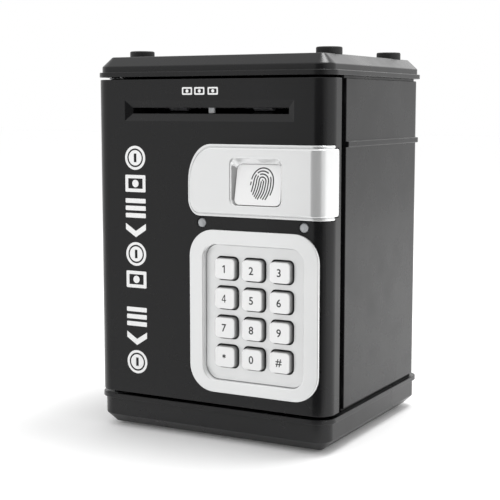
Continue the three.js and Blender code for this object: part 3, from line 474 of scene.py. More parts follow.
class Tree:
    """A Geometry Nodes tree with named inputs that ends in Realize Instances and Set Material."""

    def __init__(self, name, **inputs):
        self.tree = bpy.data.node_groups.new(name, "GeometryNodeTree")
        add_socket = self.tree.interface.new_socket
        for label, value in inputs.items():
            socket = add_socket(label, in_out="INPUT", socket_type=SOCKET_KINDS[type(value)])
            if value is not None:
                socket.default_value = value
        add_socket("Geometry", in_out="OUTPUT", socket_type="NodeSocketGeometry")
        self.source = self.tree.nodes.new("NodeGroupInput").outputs

    def node(self, kind, wires=None, **settings):
        """Adds a node and gives its first output. wires maps an input's name or number to a value, to an
        output, or to a list of outputs where the input takes several."""
        family = "" if kind.startswith(("Shader", "Function")) else "GeometryNode"
        made = self.tree.nodes.new(family + kind)
        for label, value in settings.items():
            setattr(made, label, value)
        for label, value in (wires or {}).items():
            for item in value if isinstance(value, list) else [value]:
                if isinstance(item, bpy.types.NodeSocket):
                    self.tree.links.new(item, made.inputs[label])
                else:
                    made.inputs[label].default_value = item
        return made.outputs[0]

    def math(self, operation, first, second=0.0, third=0.0):
        return self.node("ShaderNodeMath", {0: first, 1: second, 2: third}, operation=operation)

    def vector(self, x=0.0, y=0.0, z=0.0):
        return self.node("ShaderNodeCombineXYZ", {0: x, 1: y, 2: z})

    def pushed_out(self, face, depth):
        """A closed solid: a flat face pushed out by depth, and the face itself turned over as its base."""
        wall = self.node("ExtrudeMesh", {"Mesh": face, "Offset Scale": depth})
        base = self.node("FlipFaces", {"Mesh": face})
        both = self.node("JoinGeometry", {0: [wall, base]})
        return self.node("MergeByDistance", {"Geometry": both, "Distance": 1e-6})

    def moved(self, geometry, shift, turn=(0, 0, 0)):
        return self.node("Transform", {"Geometry": geometry, "Translation": shift, "Rotation": turn})

    def end(self, geometry, material):
        real = self.node("RealizeInstances", {"Geometry": geometry})
        coat = self.node("SetMaterial", {"Geometry": real, "Material": material})
        sink = self.tree.nodes.new("NodeGroupOutput")
        self.tree.links.new(coat, sink.inputs[0])

    def grow(self, name, points=(), **values):
        """A plain mesh of what the tree makes with these values, and on these points if it takes any."""
        piece = new_piece(name, points, [])
        step = piece.modifiers.new("grow", "NODES")
        step.node_group = self.tree
        for item in self.tree.interface.items_tree:
            if item.in_out == "INPUT" and item.name in values:
                step[item.identifier] = values[item.name]
        return bake(piece)


# %% Ribs inside the back wall
rib_tree = Tree("ribs_in_a_row", count=5, start=(0.0, 0.0, 0.0), step=(0.0, 0.0, 0.0), size=(1.0, 1.0, 1.0))
ribs_from = rib_tree.source
rib_points = rib_tree.node("MeshLine", {"Count": ribs_from["count"], "Start Location": ribs_from["start"],
                                        "Offset": ribs_from["step"]})
rib_box = rib_tree.node("MeshCube", {"Size": ribs_from["size"]})
rib_tree.end(rib_tree.node("InstanceOnPoints", {"Points": rib_points, "Instance": rib_box}), black_plastic)
WALL_RIBS, WALL_RIB_PITCH = 7, 16
ribs = rib_tree.grow("wall_ribs", count=WALL_RIBS, start=metres(-48, wall_back - WALL, 96),
                     step=(WALL_RIB_PITCH * MM, 0.0, 0.0), size=metres(1.6, 2.4, 140))
weld(walls, ribs)
finish(walls, wall_plastic, "case", "black_case", "casing_shell")
print("ribs welded; walls", len(walls.data.polygons), "faces")

# %% [markdown]
# ## Case: studs and feet
# Four round rubber studs stand on the top and four feet under the base. Both are turned shapes, so a
# rounded side view spun about an axis makes them.

# %% Studs and feet
for node in STUD_NODES:
    low, high = corners_of(node)
    centre, radius = (low + high) / 2, (high.x - low.x) / 2
    side = eased([(0, low.z), (radius, low.z), (radius, high.z), (radius - 1.6, high.z), (0, high.z - 0.15)],
                 [0.3, 0.9, 0.6], 5)
    stud = turned(node + "_rubber", "z", centre.x, centre.y, side, 64)
    finish(stud, stud_rubber, "case", "stud_rubber", node)
for node in FOOT_NODES:
    low, high = corners_of(node)
    centre, radius = (low + high) / 2, (high.x - low.x) / 2
    side = eased([(0, low.z), (radius, low.z), (radius, high.z), (0, high.z)], [0.6, 0.3], 4)
    foot = turned(node + "_rubber", "z", centre.x, centre.y, side, 48)
    finish(foot, stud_rubber, "case", "stud_rubber", node)
print("studs and feet", len(STUD_NODES) + len(FOOT_NODES))

# %% [markdown]
# ## Door: front shell
# The door is a shallow tray whose upright front edges are rounded. Its plan outline is stacked upwards
# with a small rounding at each end, then the inside is cut out. The note slot has a wide funnel, so its
# cutter flares from the slit to a larger rectangle at the face.

# %% Door front shell
door_low, door_high = corners_of("door_front_shell")
DOOR_SKIN = 2.2
DOOR_CORNER = 8.1
face_y = door_low.y


def door_plan(inset, back=door_high.y):
    r = DOOR_CORNER - inset
    return rounded_rectangle(door_low.x + inset, door_high.x - inset, face_y + inset, back,
                             [r, r, 0.3, 0.3], 14)


door = slab("door_front", "z", door_plan, door_low.z, door_high.z, 0.45, 0.45)
carve(door, slab("inside", "z", lambda i: door_plan(DOOR_SKIN + i, door_high.y + 2), door_low.z + 2,
                 door_high.z - 2, 0.5, 0.5))
SLIT = (-42.5, 43.0, 158.4, 161.2)
FUNNEL = 3.6
funnel_side = eased([(0, -50), (0, face_y + 1.8), (-FUNNEL, face_y), (-FUNNEL - 3, face_y - 1)],
                    [0.25, 0.25])


def slit_outline(inset):
    """The slit's rectangle. Its corners stay sharp as it grows, so the funnel's faces meet in mitres."""
    return rounded_rectangle(SLIT[0] + inset, SLIT[1] - inset, SLIT[2] + inset, SLIT[3] - inset, 0.12, 2)


carve(door, stacked("slit", "y", slit_outline, funnel_side))
panel_low, panel_high = Vector((-1.1, 0, 30.9)), Vector((52.4, 0, 96.8))
PANEL_WALL, PANEL_ROOM = 1.8, 2.2
keypad_hole = rectangle(panel_low.x - PANEL_ROOM, panel_high.x + PANEL_ROOM, panel_low.z - PANEL_ROOM,
                        panel_high.z + PANEL_ROOM, 8.2)
carve(door, slab("keypad_hole", "y", keypad_hole, face_y - 1, face_y + 4))
LAMP_NODES = ["led_lens_left", "led_lens_right"]
LAMP_RADIUS = 2.2
for node in LAMP_NODES:
    centre = middle_of(node)
    lamp_side = eased([(LAMP_RADIUS + 0.35, face_y + 4), (LAMP_RADIUS + 0.35, face_y + 0.1),
                       (LAMP_RADIUS + 1.4, face_y - 1)], 0.3)
    carve(door, turned("lamp_hole", "y", centre.x, centre.z, lamp_side))
print("door", len(door.data.polygons), "faces")

# %% [markdown]
# ## Door: handle band
# The silver band lies in two steps across the door and wraps round its right edge. Each step is made flat
# first, as a plate with rounded edges, then sliced across where the bend will come and rolled round the
# door's corner. So its rounded edge runs unbroken through the bend.


# %% Rolling a flat plate round a corner
def rolled(plate, front, side, radius):
    """Rolls a plate that lies along x round an upright corner. Its x becomes the length along the sweep."""
    straight = side - radius
    quarter = radius * math.pi / 2
    work = bmesh.new()
    work.from_mesh(plate.data)
    slices = 18
    for k in range(slices + 1):
        at = (straight + quarter * k / slices) * MM
        geometry = work.verts[:] + work.edges[:] + work.faces[:]
        bmesh.ops.bisect_plane(work, geom=geometry, plane_co=(at, 0, 0), plane_no=(1, 0, 0))
    work.to_mesh(plate.data)
    work.free()

    def roll(p):
        depth = p.y - front
        if p.x <= straight:
            return p
        if p.x <= straight + quarter:
            turn = (p.x - straight) / radius
            arm = radius - depth
            return (straight + arm * math.sin(turn), front + radius - arm * math.cos(turn), p.z)
        return (side - depth, front + radius + (p.x - straight - quarter), p.z)

    return move_points(plate, roll)


def band_step(name, left, bottom, top, front, side, radius, end, thickness, corners, edge):
    """One step of the band. front and side are its outer faces, and end is where it stops along the
    door's side. corners holds the radii, across and up, of its lower and upper left corner."""
    straight, quarter = side - radius, radius * math.pi / 2
    past_centre = end - (front + radius)
    if past_centre > 0:
        length = straight + quarter + past_centre
    else:
        length = straight + radius * math.acos(-past_centre / radius)

    def outline(inset):
        radii = [tuple(max(r - inset, 0.1) for r in corners[0]), (edge, edge), (edge, edge),
                 tuple(max(r - inset, 0.1) for r in corners[1])]
        return rounded_rectangle(left + inset, length - inset, bottom + inset, top - inset, radii, 10)

    plate = slab(name, "y", outline, front, front + thickness, edge, 0.05)
    return rolled(plate, front, side, radius)


UPPER_CORNERS = [(5.2, 6.8), (12.5, 17.4)]
BAND_FRONT = -60.4
lower_step = band_step("lower_step", left=-9.6, bottom=110.0, top=144.3, front=-59.0, side=64.6, radius=8.5,
                       end=-51.3, thickness=1.5, corners=[(6.3, 8), (12.4, 18)], edge=0.55)
upper_step = band_step("handle_band_body", left=-8.2, bottom=111.5, top=142.8, front=BAND_FRONT, side=64.9,
                       radius=9.1, end=-47.7, thickness=2.2, corners=UPPER_CORNERS, edge=1.2)
groove = band_step("groove", left=-8.65, bottom=111.05, top=143.25, front=-59.2, side=64.8, radius=8.7,
                   end=-47.0, thickness=0.8, corners=UPPER_CORNERS, edge=0.1)
carve(lower_step, groove)
weld(upper_step, lower_step)
print("band", len(upper_step.data.polygons), "faces")

# %% [markdown]
# The door keeps a bed for the band: the same two steps, cut a little larger. The finger pocket is cut
# through the band afterwards. Its walls lean in towards a pad that slopes back at the top, so its cutter
# is a stack of rings that goes from the mouth's rectangle to the floor's. A thin grey plate lines the left
# wall: painted shade, a dark sheet that stands in for that wall's shadow.

# %% Bed and finger pocket
bed = band_step("bed", left=-9.9, bottom=109.7, top=144.6, front=-60.0, side=65.6, radius=9.5, end=-51.0,
                thickness=3.0, corners=[(6.4, 8.1), (12.5, 18.1)], edge=0.1)
bed_end = band_step("bed_end", left=-8.5, bottom=111.2, top=143.1, front=-60.0, side=65.6, radius=9.5,
                    end=-47.4, thickness=3.0, corners=UPPER_CORNERS, edge=0.1)
carve(door, bed, bed_end)
MOUTH = (14.4, 41.2, 115.8, 138.1)
POCKET_FLOOR = (16.3, 40.6, 116.1, 135.1)
well = slab("well", "y", rectangle(13.2, 42.4, 114.6, 139.3, 3.0), BAND_FRONT + 1.2, -53.5)
carve(door, slab("well_hole", "y", rectangle(12.8, 42.8, 114.2, 139.7, 3.2), face_y - 1, face_y + 4))
weld(upper_step, well)


def pocket_ring(share, grow, y):
    """The mouth's outline, drawn towards the floor's by a share and grown outwards, at a depth y."""
    rect = [m + (f - m) * share for m, f in zip(MOUTH, POCKET_FLOOR)]
    points = rounded_rectangle(rect[0] - grow, rect[1] + grow, rect[2] - grow, rect[3] + grow, 3.0 + grow, 8)
    return [(x, y, z) for x, z in points]


POCKET_RINGS = [(0, 2.0, BAND_FRONT - 1), (0, 0.55, BAND_FRONT - 0.02), (0, 0.25, BAND_FRONT + 0.08),
                (0.05, 0.06, BAND_FRONT + 0.3), (0.15, 0, BAND_FRONT + 0.62), (1, 0, BAND_FRONT + 4.1),
                (1, 0, -52)]
carve(upper_step, skin("pocket", [pocket_ring(*ring) for ring in POCKET_RINGS]))
finish(upper_step, silver_paint, "door", "silver_paint", "handle_band")
# The grey plate on the pocket's left wall is painted shade: it stands in for the wall's shadow.
CHEEK_THICK, CHEEK_BOTTOM, CHEEK_TOP = 0.3, 118.2, 134.2
cheek_rings = []
for depth, x in ((0.75, 14.85), (4.0, 16.3)):
    y = BAND_FRONT + depth
    cheek_rings.append([(x - CHEEK_THICK, y, CHEEK_BOTTOM), (x, y, CHEEK_BOTTOM), (x, y, CHEEK_TOP),
                        (x - CHEEK_THICK, y, CHEEK_TOP)])
finish(skin("pocket_left_wall_painted_shade", cheek_rings), pocket_wall_painted_shade_plastic, "door", "silver_paint")
finish(door, black_plastic, "door", "black_case", "door_front_shell")
print("bed and pocket cut; band", len(upper_step.data.polygons), "faces")

# %% [markdown]
# ## Finger pad
# The pad fills the pocket's floor. It is a rounded plate, then every point of its front moves back in
# proportion to its height, which tilts the face. The ridges printed on it are nested arches. A Geometry
# Nodes tree walks each strand of points up one leg, over an arch of its own radius and down the other,
# bends it a little with a seeded noise, trims it to an oval, and sweeps a small section along it.

# %% Finger pad
pad_low, pad_high = corners_of("fingerprint_pad")
PAD_EDGES = (16.38, 40.5, 116.18, 135.0)
PAD_SUNK, PAD_DEEP, PAD_SKIN = 0.22, 3.9, 1.5
TILT = (PAD_DEEP - PAD_SUNK) / (PAD_EDGES[3] - PAD_EDGES[2])
pad_front = BAND_FRONT + PAD_SUNK


def tilted(p):
    lean = TILT * (p.z - PAD_EDGES[2])
    return (p.x, p.y + lean, p.z) if p.y < pad_front + PAD_SKIN else p


pad = slab("finger_pad_body", "y", rectangle(*PAD_EDGES, 2.6), pad_front, pad_high.y - 1, 0.22, 0)
move_points(pad, tilted)
flange = block("pad_flange", pad_low.x, pad_high.x, pad_high.y - 1.05, pad_high.y, pad_low.z, pad_high.z, 0.2)
weld(pad, flange)
finish(pad, pad_plastic, "fingerprint_pad", "white_keys", "fingerprint_pad")
print("pad tilt", round(math.degrees(math.atan(TILT)), 1), "degrees")

# %% Ridges on the pad
RIDGE_POINTS, WALK_LONG = 90, 9.0
LEG_STEP, ARCH_TALL, ARCH_LIFT = 4.2 * MM, 1.05, 1.1 * MM
LEG_BEND = -0.035 / MM
ridge_tree = Tree("nested_ridges", ridges=5, pitch=1.3 * MM, width=0.31 * MM, half_width=6.1 * MM,
                  half_height=7.9 * MM, wobble=0.4 * MM, gap=0.30, seed=5)
given, calc, add = ridge_tree.source, ridge_tree.math, ridge_tree.node
places = add("MeshLine", {"Count": given["ridges"], "Offset": (0, 0, 0)})
strand = add("MeshLine", {"Count": RIDGE_POINTS, "Offset": (0, 0, 0)})
loose = add("RealizeInstances", {"Geometry": add("InstanceOnPoints", {"Points": places, "Instance": strand})})
index = add("InputIndex")
number = calc("FLOOR", calc("DIVIDE", index, float(RIDGE_POINTS)))
along = calc("SUBTRACT", index, calc("MULTIPLY", number, float(RIDGE_POINTS)))
radius = calc("MULTIPLY", calc("ADD", number, 0.5), given["pitch"])
centred = calc("SUBTRACT", along, RIDGE_POINTS / 2 - 0.5)
walk = calc("MULTIPLY", centred, WALK_LONG / RIDGE_POINTS)
turn = calc("MAXIMUM", calc("MINIMUM", walk, math.pi / 2), -math.pi / 2)
drop = calc("MULTIPLY", calc("SUBTRACT", calc("ABSOLUTE", walk), calc("ABSOLUTE", turn)), LEG_STEP)
bend = calc("MULTIPLY", calc("MULTIPLY", drop, drop), LEG_BEND)
x_flat = calc("ADD", calc("MULTIPLY", radius, calc("SINE", turn)), bend)
arch = calc("MULTIPLY", calc("MULTIPLY", radius, ARCH_TALL), calc("COSINE", turn))
y_flat = calc("ADD", calc("SUBTRACT", arch, drop), ARCH_LIFT)
laid = add("SetPosition", {"Geometry": loose, "Position": ridge_tree.vector(x_flat, y_flat, 0.0)})
spot = add("InputPosition")
cloud = add("ShaderNodeTexNoise", {"Vector": spot, "Scale": 180.0, "Detail": 0.0, "W": given["seed"]},
            noise_dimensions="4D").node.outputs["Color"]
signed = add("ShaderNodeVectorMath", {0: cloud, 1: (0.5, 0.5, 0.5)}, operation="SUBTRACT")
push = add("ShaderNodeVectorMath", {0: signed, "Scale": calc("MULTIPLY", given["wobble"], 2.0)},
           operation="SCALE")
flat_push = add("ShaderNodeVectorMath", {0: push, 1: (1, 1, 0)}, operation="MULTIPLY")
bent = add("SetPosition", {"Geometry": laid, "Offset": flat_push})
parts = add("ShaderNodeSeparateXYZ", {0: spot}).node.outputs
across, up = calc("DIVIDE", parts[0], given["half_width"]), calc("DIVIDE", parts[1], given["half_height"])
reach = calc("ADD", calc("MULTIPLY", across, across), calc("MULTIPLY", up, up))
outside = add("FunctionNodeCompare", {0: reach, 1: 1.0}, operation="GREATER_THAN")
trimmed = add("DeleteGeometry", {"Geometry": bent, "Selection": outside})
chance = add("ShaderNodeTexNoise", {"Vector": spot, "Scale": 330.0, "Detail": 0.0, "W": 7.0},
             noise_dimensions="4D")
break_here = add("FunctionNodeCompare", {0: chance, 1: given["gap"]}, operation="LESS_THAN")
broken = add("DeleteGeometry", {"Geometry": trimmed, "Selection": break_here})
paths = add("MeshToCurve", {"Mesh": broken})
section = add("CurvePrimitiveCircle", {"Resolution": 8, "Radius": given["width"]})
swept = add("CurveToMesh", {"Curve": paths, "Profile Curve": section, "Fill Caps": True})
ridge_tree.end(swept, dark_print)
ridges = ridge_tree.grow("finger_pad_ridges")
RIDGE_X, RIDGE_Z, FLATTEN = 30.3, 126.1, 0.2


def on_pad(p):
    """Lays the ridges, drawn flat about the origin, on the tilted face, flattened and sunk halfway."""
    z = RIDGE_Z + p.y
    return (RIDGE_X + p.x, pad_front + TILT * (z - PAD_EDGES[2]) - FLATTEN * p.z, z)


move_points(ridges, on_pad)
finish(ridges, dark_print, "fingerprint_pad", "black_inner")
print("ridges", len(ridges.data.polygons), "faces")

# %% [markdown]
# ## Lamps
# The two lamps are small domes of clear plastic that stand just proud of the door. Each is turned, with a
# rounded top, and a thin dark gap shows round it where the hole's rim is eased.

# %% Lamps
for node in LAMP_NODES:
    low, high = corners_of(node)
    centre, top = (low + high) / 2, low.y
    dome_side = eased([(0, top), (1.1, top + 0.05), (LAMP_RADIUS, top + 0.95), (LAMP_RADIUS, face_y + 2.5),
                       (LAMP_RADIUS + 0.8, face_y + 2.5), (LAMP_RADIUS + 0.8, high.y), (0, high.y)],
                      [1.2, 0.9, 0.1, 0.1, 0.1], 6)
    dome = turned(node + "_dome", "y", centre.x, centre.z, dome_side, 40)
    finish(dome, lamp_lens, "door", "led_clear", node)
print("lamps", len(LAMP_NODES))

# %% [markdown]
# ## Keypad frame
# The frame is a plate with a broad rim. A step with a fine groove at its foot leads down to the panel that
# holds the keys, and from there the face eases to the panel's level in a shallow hollow curve. Step, groove
# and curve all belong to the cutter's rings. The silver darkens to near black a little way into the key
# pockets and the groove: painted shade, which stands in for the shadow in those gaps.

# %% Keypad frame
frame_low, frame_high = corners_of("keypad_bezel")
frame_front = frame_low.y
panel_face = -56.0
FRAME_TRIM_LEFT, FRAME_TRIM_BOTTOM = 1.1, 0.3
# The tones paint shade: the silver turns near black just behind the panel's face, in the pockets and the
# groove.
frame_paint_with_painted_shade = grained("silver_paint_with_painted_shade", SILVER, 0.24, grain=0.12, grain_size=0.2, depth=0.006,
                      metallic=0.6, drift=0.03,
                      tones=[(panel_face + 0.15, SILVER), (panel_face + 0.6, (0.01,) * 3)])


def frame_outline(inset):
    return rounded_rectangle(frame_low.x + FRAME_TRIM_LEFT + inset, frame_high.x - inset,
                             frame_low.z + FRAME_TRIM_BOTTOM + inset, frame_high.z - inset, 13 - inset, 14)


def panel_outline(inset):
    return rounded_rectangle(panel_low.x + inset, panel_high.x - inset, panel_low.z + inset,
                             panel_high.z - inset, max(7.0 - inset * 0.7, 0.3), 10)


CREASE, CREASE_FLOOR = 0.3, panel_face + 0.45
SWEEP_IN, SWEEP_DEEP, SWEEP_RINGS = 4.1, 0.5, 12


def dish_outline(inset):
    """The panel's outline. Past the groove it draws in far at the left and only a little elsewhere."""
    groove, sweep = min(inset, CREASE), max(inset - CREASE, 0.0)
    return rounded_rectangle(panel_low.x + groove + sweep, panel_high.x - groove - 0.2 * sweep,
                             panel_low.z + groove + 0.55 * sweep, panel_high.z - groove - 0.14 * sweep,
                             7.0 - 0.7 * inset, 10)


keypad_frame = slab("keypad_frame_body", "y", frame_outline, frame_front, face_y - 0.3, 1.0, 0.05, 5)
tub = slab("tub", "y", lambda i: panel_outline(i - PANEL_WALL), face_y - 0.8, frame_high.y, 0, 0.3)
weld(keypad_frame, tub)
dish_side = [(-2.6, frame_front - 1), (-0.62, frame_front - 0.01), (-0.38, frame_front + 0.04),
             (-0.16, frame_front + 0.16), (0.0, frame_front + 0.36), (0.03, CREASE_FLOOR),
             (CREASE - 0.03, CREASE_FLOOR), (CREASE, panel_face - SWEEP_DEEP)]
for k in range(1, SWEEP_RINGS + 1):
    share = k / SWEEP_RINGS
    dish_side.append((CREASE + SWEEP_IN * share, panel_face - SWEEP_DEEP * (1 - share) ** 1.8))
carve(keypad_frame, stacked("dish", "y", dish_outline, dish_side))
print("keypad frame", len(keypad_frame.data.polygons), "faces")

# %% [markdown]
# The panel has a pocket for each key, four rows of three at an even pitch. A Geometry Nodes tree makes
# the twelve cutters at once: a grid of points, with one rounded, filled and extruded outline on each.

# %% Key pockets
KEY_NODES = ["key_" + name for name in "1 2 3 4 5 6 7 8 9 star 0 hash".split()]
first_key, last_key = middle_of("key_star"), middle_of("key_3")
pocket_tree = Tree("key_pockets", columns=3, rows=4, spread_x=1.0, spread_z=1.0, middle=(0.0, 0.0, 0.0),
                   width=1.0, height=1.0, corner=1.0, depth=1.0)
want, add = pocket_tree.source, pocket_tree.node
grid = add("MeshGrid", {"Size X": want["spread_x"], "Size Y": want["spread_z"],
                        "Vertices X": want["columns"], "Vertices Y": want["rows"]})
hole = add("CurvePrimitiveQuadrilateral", {"Width": want["width"], "Height": want["height"]})
hole_round = add("FilletCurve", {"Curve": hole, "Count": 6, "Radius": want["corner"]}, mode="POLY")
hole_face = add("FillCurve", {"Curve": hole_round}, mode="NGONS")
hole_solid = pocket_tree.pushed_out(hole_face, want["depth"])
holes = add("InstanceOnPoints", {"Points": grid, "Instance": hole_solid})
pocket_tree.end(pocket_tree.moved(holes, want["middle"], (math.radians(90), 0, 0)), silver_paint)
key_low = corners_of("key_5")[0]
KEY_FACE, KEY_DRAFT, KEY_GAP = (10.3, 9.7), 0.5, 0.5
key_middle = (first_key + last_key) / 2
pockets = pocket_tree.grow("key_pockets", spread_x=(last_key.x - first_key.x) * MM,
                           spread_z=(last_key.z - first_key.z) * MM,
                           middle=metres(key_middle.x, frame_high.y + 1, key_middle.z),
                           width=(KEY_FACE[0] + 2 * KEY_DRAFT + 2 * KEY_GAP) * MM,
                           height=(KEY_FACE[1] + 2 * KEY_DRAFT + 2 * KEY_GAP) * MM,
                           corner=2.7 * MM, depth=4.5 * MM)
carve(keypad_frame, pockets)
finish(keypad_frame, frame_paint_with_painted_shade, "door", "silver_paint", "keypad_bezel")
print("pockets cut; keypad frame", len(keypad_frame.data.polygons), "faces")

# %% [markdown]
# ## Keys
# Each key can be pressed, so each is a piece on a body of its own. Its sides spread towards the panel,
# the rim of its face is rounded, and the face itself is very slightly crowned. The face is white, and the
# sides darken to near black towards the panel: painted shade, which stands in for the shadow in the pocket.
# The marks are as thin as a print: most are lettering made into a mesh, and the 1, the 4 and the star are
# drawn from a few straight bars.


# %% Keys
MARK_THICK = 0.05
CAPITAL_SHARE = 0.73


def printed_mark(name, text, height, place, facing_y, bolder):
    """A character as a thin plate on a face that looks along -Y. place is its middle, as x and z, and
    bolder is how far its outline is pushed out. A capital takes CAPITAL_SHARE of the letters' size."""
    curve = bpy.data.curves.new(name, "FONT")
    curve.body = text
    curve.size = height / CAPITAL_SHARE
    curve.extrude = MARK_THICK / 2
    curve.offset = bolder
    curve.resolution_u = 6
    letter = bpy.data.objects.new(name, curve)
    bpy.context.scene.collection.objects.link(letter)
    graph = bpy.context.evaluated_depsgraph_get()
    graph.update()
    mesh = bpy.data.meshes.new_from_object(letter.evaluated_get(graph), depsgraph=graph)
    bpy.data.objects.remove(letter)
    work = bmesh.new()
    work.from_mesh(mesh)
    bmesh.ops.remove_doubles(work, verts=work.verts, dist=1e-5)
    work.to_mesh(mesh)
    work.free()
    xs, ys = [v.co.x for v in mesh.vertices], [v.co.y for v in mesh.vertices]
    middle = Vector(((min(xs) + max(xs)) / 2, (min(ys) + max(ys)) / 2, 0))
    for vertex in mesh.vertices:
        flat = vertex.co - middle
        vertex.co = Vector((place[0] + flat.x, facing_y - flat.z, place[1] + flat.y)) * MM
    piece = bpy.data.objects.new(name, mesh)
    bpy.context.scene.collection.objects.link(piece)
    return piece


def bar_mark(name, bars_of_mark, facing_y):
    """A mark made of straight bars. Each bar is its two ends, as (x, z), and its width."""
    plates = []
    for (x0, z0), (x1, z1), width in bars_of_mark:
        way = Vector((x1 - x0, z1 - z0)).normalized() * width / 2
        corners = [(x0 - way.y, z0 + way.x), (x0 + way.y, z0 - way.x),
                   (x1 + way.y, z1 - way.x), (x1 - way.y, z1 + way.x)]
        faces = (facing_y - MARK_THICK / 2, facing_y + MARK_THICK / 2)
        plates.append(skin(name, [[(x, y, z) for x, z in corners] for y in faces]))
    return weld(*plates)


DIGIT_HEIGHT, STROKE = 3.8, 0.6
KEY_CROWN = 0.10
# The tones paint shade: the key's sides go grey and then near black towards the panel.
KEY_PAINTED_SHADE_TONES = [(key_low.y + 0.40, (0.78,) * 3), (key_low.y + 0.75, (0.44,) * 3), (key_low.y + 1.9, (0.26,) * 3),
             (panel_face - 0.2, (0.10,) * 3), (panel_face + 0.3, (0.02,) * 3)]
key_plastic_painted_shade = grained("white_key_painted_side_shade", (0.78, 0.78, 0.78), 0.38, grain=0.2, drift=0.04, tones=KEY_PAINTED_SHADE_TONES)


def mark_of(node, x, z, facing_y):
    name, half = node + "_mark", DIGIT_HEIGHT / 2
    if node == "key_1":
        stem = ((x + 0.25, z - half), (x + 0.25, z + half), STROKE)
        flag = ((x - 0.75, z + half - 0.95), (x + 0.3, z + half - 0.2), STROKE)
        return bar_mark(name, [stem, flag], facing_y)
    if node == "key_4":
        foot, level = (x + 0.45, z - half), z - 0.85
        return bar_mark(name, [(foot, (x + 0.45, z + half), 0.46),
                               ((x - 1.2, level), (x + 1.15, level), 0.44),
                               ((x - 1.1, level - 0.05), (x + 0.4, z + half - 0.1), 0.44)], facing_y)
    if node == "key_star":
        turns = [math.radians(a) for a in (30, 90, 150)]
        arms = [((x - math.cos(t), z + 0.4 - math.sin(t)), (x + math.cos(t), z + 0.4 + math.sin(t)), 0.5)
                for t in turns]
        return bar_mark(name, arms, facing_y)
    text = "#" if node == "key_hash" else node[-1]
    return printed_mark(name, text, DIGIT_HEIGHT, (x, z), facing_y, bolder=0.07)


def key_cap(node):
    low, high = corners_of(node)
    centre = (low + high) / 2
    half = Vector(KEY_FACE) / 2
    outline = rectangle(centre.x - half.x, centre.x + half.x, centre.z - half.y, centre.z + half.y, 1.9, 8)
    neck = high.y - 0.85
    side = [(0.5 * half.y, low.y), (0.32 * half.y, low.y + 0.01)]
    side += eased([(1.1, low.y + KEY_CROWN * 0.7), (0, low.y + KEY_CROWN), (-KEY_DRAFT, neck),
                   (-KEY_DRAFT, high.y)], [0.55, 0.05], 6)
    piece = stacked(node + "_cap", "y", outline, side)
    edge = block(node + "_flange", low.x, high.x, neck + 0.05, high.y - 0.02, low.z, high.z, 0.1)
    weld(piece, edge)
    return piece, centre, low.y


for node in KEY_NODES:
    piece, centre, front = key_cap(node)
    finish(piece, key_plastic_painted_shade, node, "white_keys", node)
    finish(mark_of(node, centre.x - 0.2, centre.z, front + 0.012), dark_print, node, "black_inner")
print("keys", len(KEY_NODES))

# %% [markdown]
# ## Behind the keys
# A silicone mat with a dome under each key springs it back, and a circuit board stands behind the mat.
# Each dome is a small turned piece, welded to the sheet at its key's place.

# %% Mat and board
mat_low, mat_high = corners_of("keypad_mat")
mat = slab("keypad_mat_sheet", "y", rectangle(mat_low.x, mat_high.x, mat_low.z, mat_high.z, 6),
           mat_low.y + 0.05, mat_high.y, 0.2, 0.1)
dome_side = eased([(0, mat_low.y), (2.4, mat_low.y), (3.4, mat_low.y + 0.5), (3.4, mat_high.y - 0.2),
                   (0, mat_high.y - 0.2)], [0.05, 0.2, 0.1])
for node in KEY_NODES:
    centre = middle_of(node)
    weld(mat, turned("dome", "y", centre.x, centre.z, dome_side, 24))
finish(mat, mat_rubber, "door", "mat_rubber", "keypad_mat")
board_low, board_high = corners_of("circuit_board")
board = block("circuit_board_sheet", board_low.x, board_high.x, board_low.y, board_high.y, board_low.z,
              board_high.z, 0.15)
finish(board, board_green, "door", "board_green", "circuit_board")
print("mat", len(mat.data.polygons), "faces")

# %% [markdown]
# ## Prints
# A column of generic marks runs down the left of the door: coins, banknotes, bars and chevrons in white.
# Over the slot stand three small banknote signs. Each is a thin plate a few hundredths of a millimetre
# proud, made of simple outlines pushed out from the door's face.

# %% Print helpers
PRINT = 0.03
print_count = 0


def white_plate(outline_points, hole_points=()):
    """A thin plate of the given outline of (x, z) points, with optional holes, on the door's face."""
    global print_count
    print_count += 1
    plate = skin("print_%02d" % print_count, [[(x, y, z) for x, z in outline_points]
                                              for y in (face_y - PRINT, face_y + 0.05)])
    for hole in hole_points:
        carve(plate, skin("hole", [[(x, y, z) for x, z in hole] for y in (face_y - 1, face_y + 1)]))
    return plate


def ring_points(x, z, radius, sides=40):
    turns = [2 * math.pi * k / sides for k in range(sides)]
    return [(x + radius * math.cos(turn), z + radius * math.sin(turn)) for turn in turns]


def box_points(x0, x1, z0, z1, radius=0.3):
    return rounded_rectangle(x0, x1, z0, z1, radius, 5)


def coin(x, z, r):
    groove = [box_points(x - r * 0.13, x + r * 0.13, z - r * 0.36, z + r * 0.36, 0.1)]
    return [white_plate(ring_points(x, z, r), [ring_points(x, z, r * 0.78)]),
            white_plate(ring_points(x, z, r * 0.64), groove)]


def banknote(x, z, across, tall):
    half, rise, line = across / 2, tall / 2, tall * 0.2
    inner = box_points(x - half + line, x + half - line, z - rise + line, z + rise - line)
    return [white_plate(box_points(x - half, x + half, z - rise, z + rise, 0.5), [inner]),
            white_plate(ring_points(x, z, tall * 0.22))]


def chevron(x, z, across, tall):
    half, rise, line = across / 2, tall / 2, tall * 0.45
    return [white_plate([(x, z - rise + line), (x, z - rise), (x + side * half, z + rise - line),
                         (x + side * half, z + rise)]) for side in (-1, 1)]


def bars(x, z, across, tall):
    count = 3
    step = tall / (count - 0.35)
    return [white_plate(box_points(x - across / 2, x + across / 2, z + tall / 2 - k * step - step * 0.62,
                                   z + tall / 2 - k * step, 0.35)) for k in range(count)]


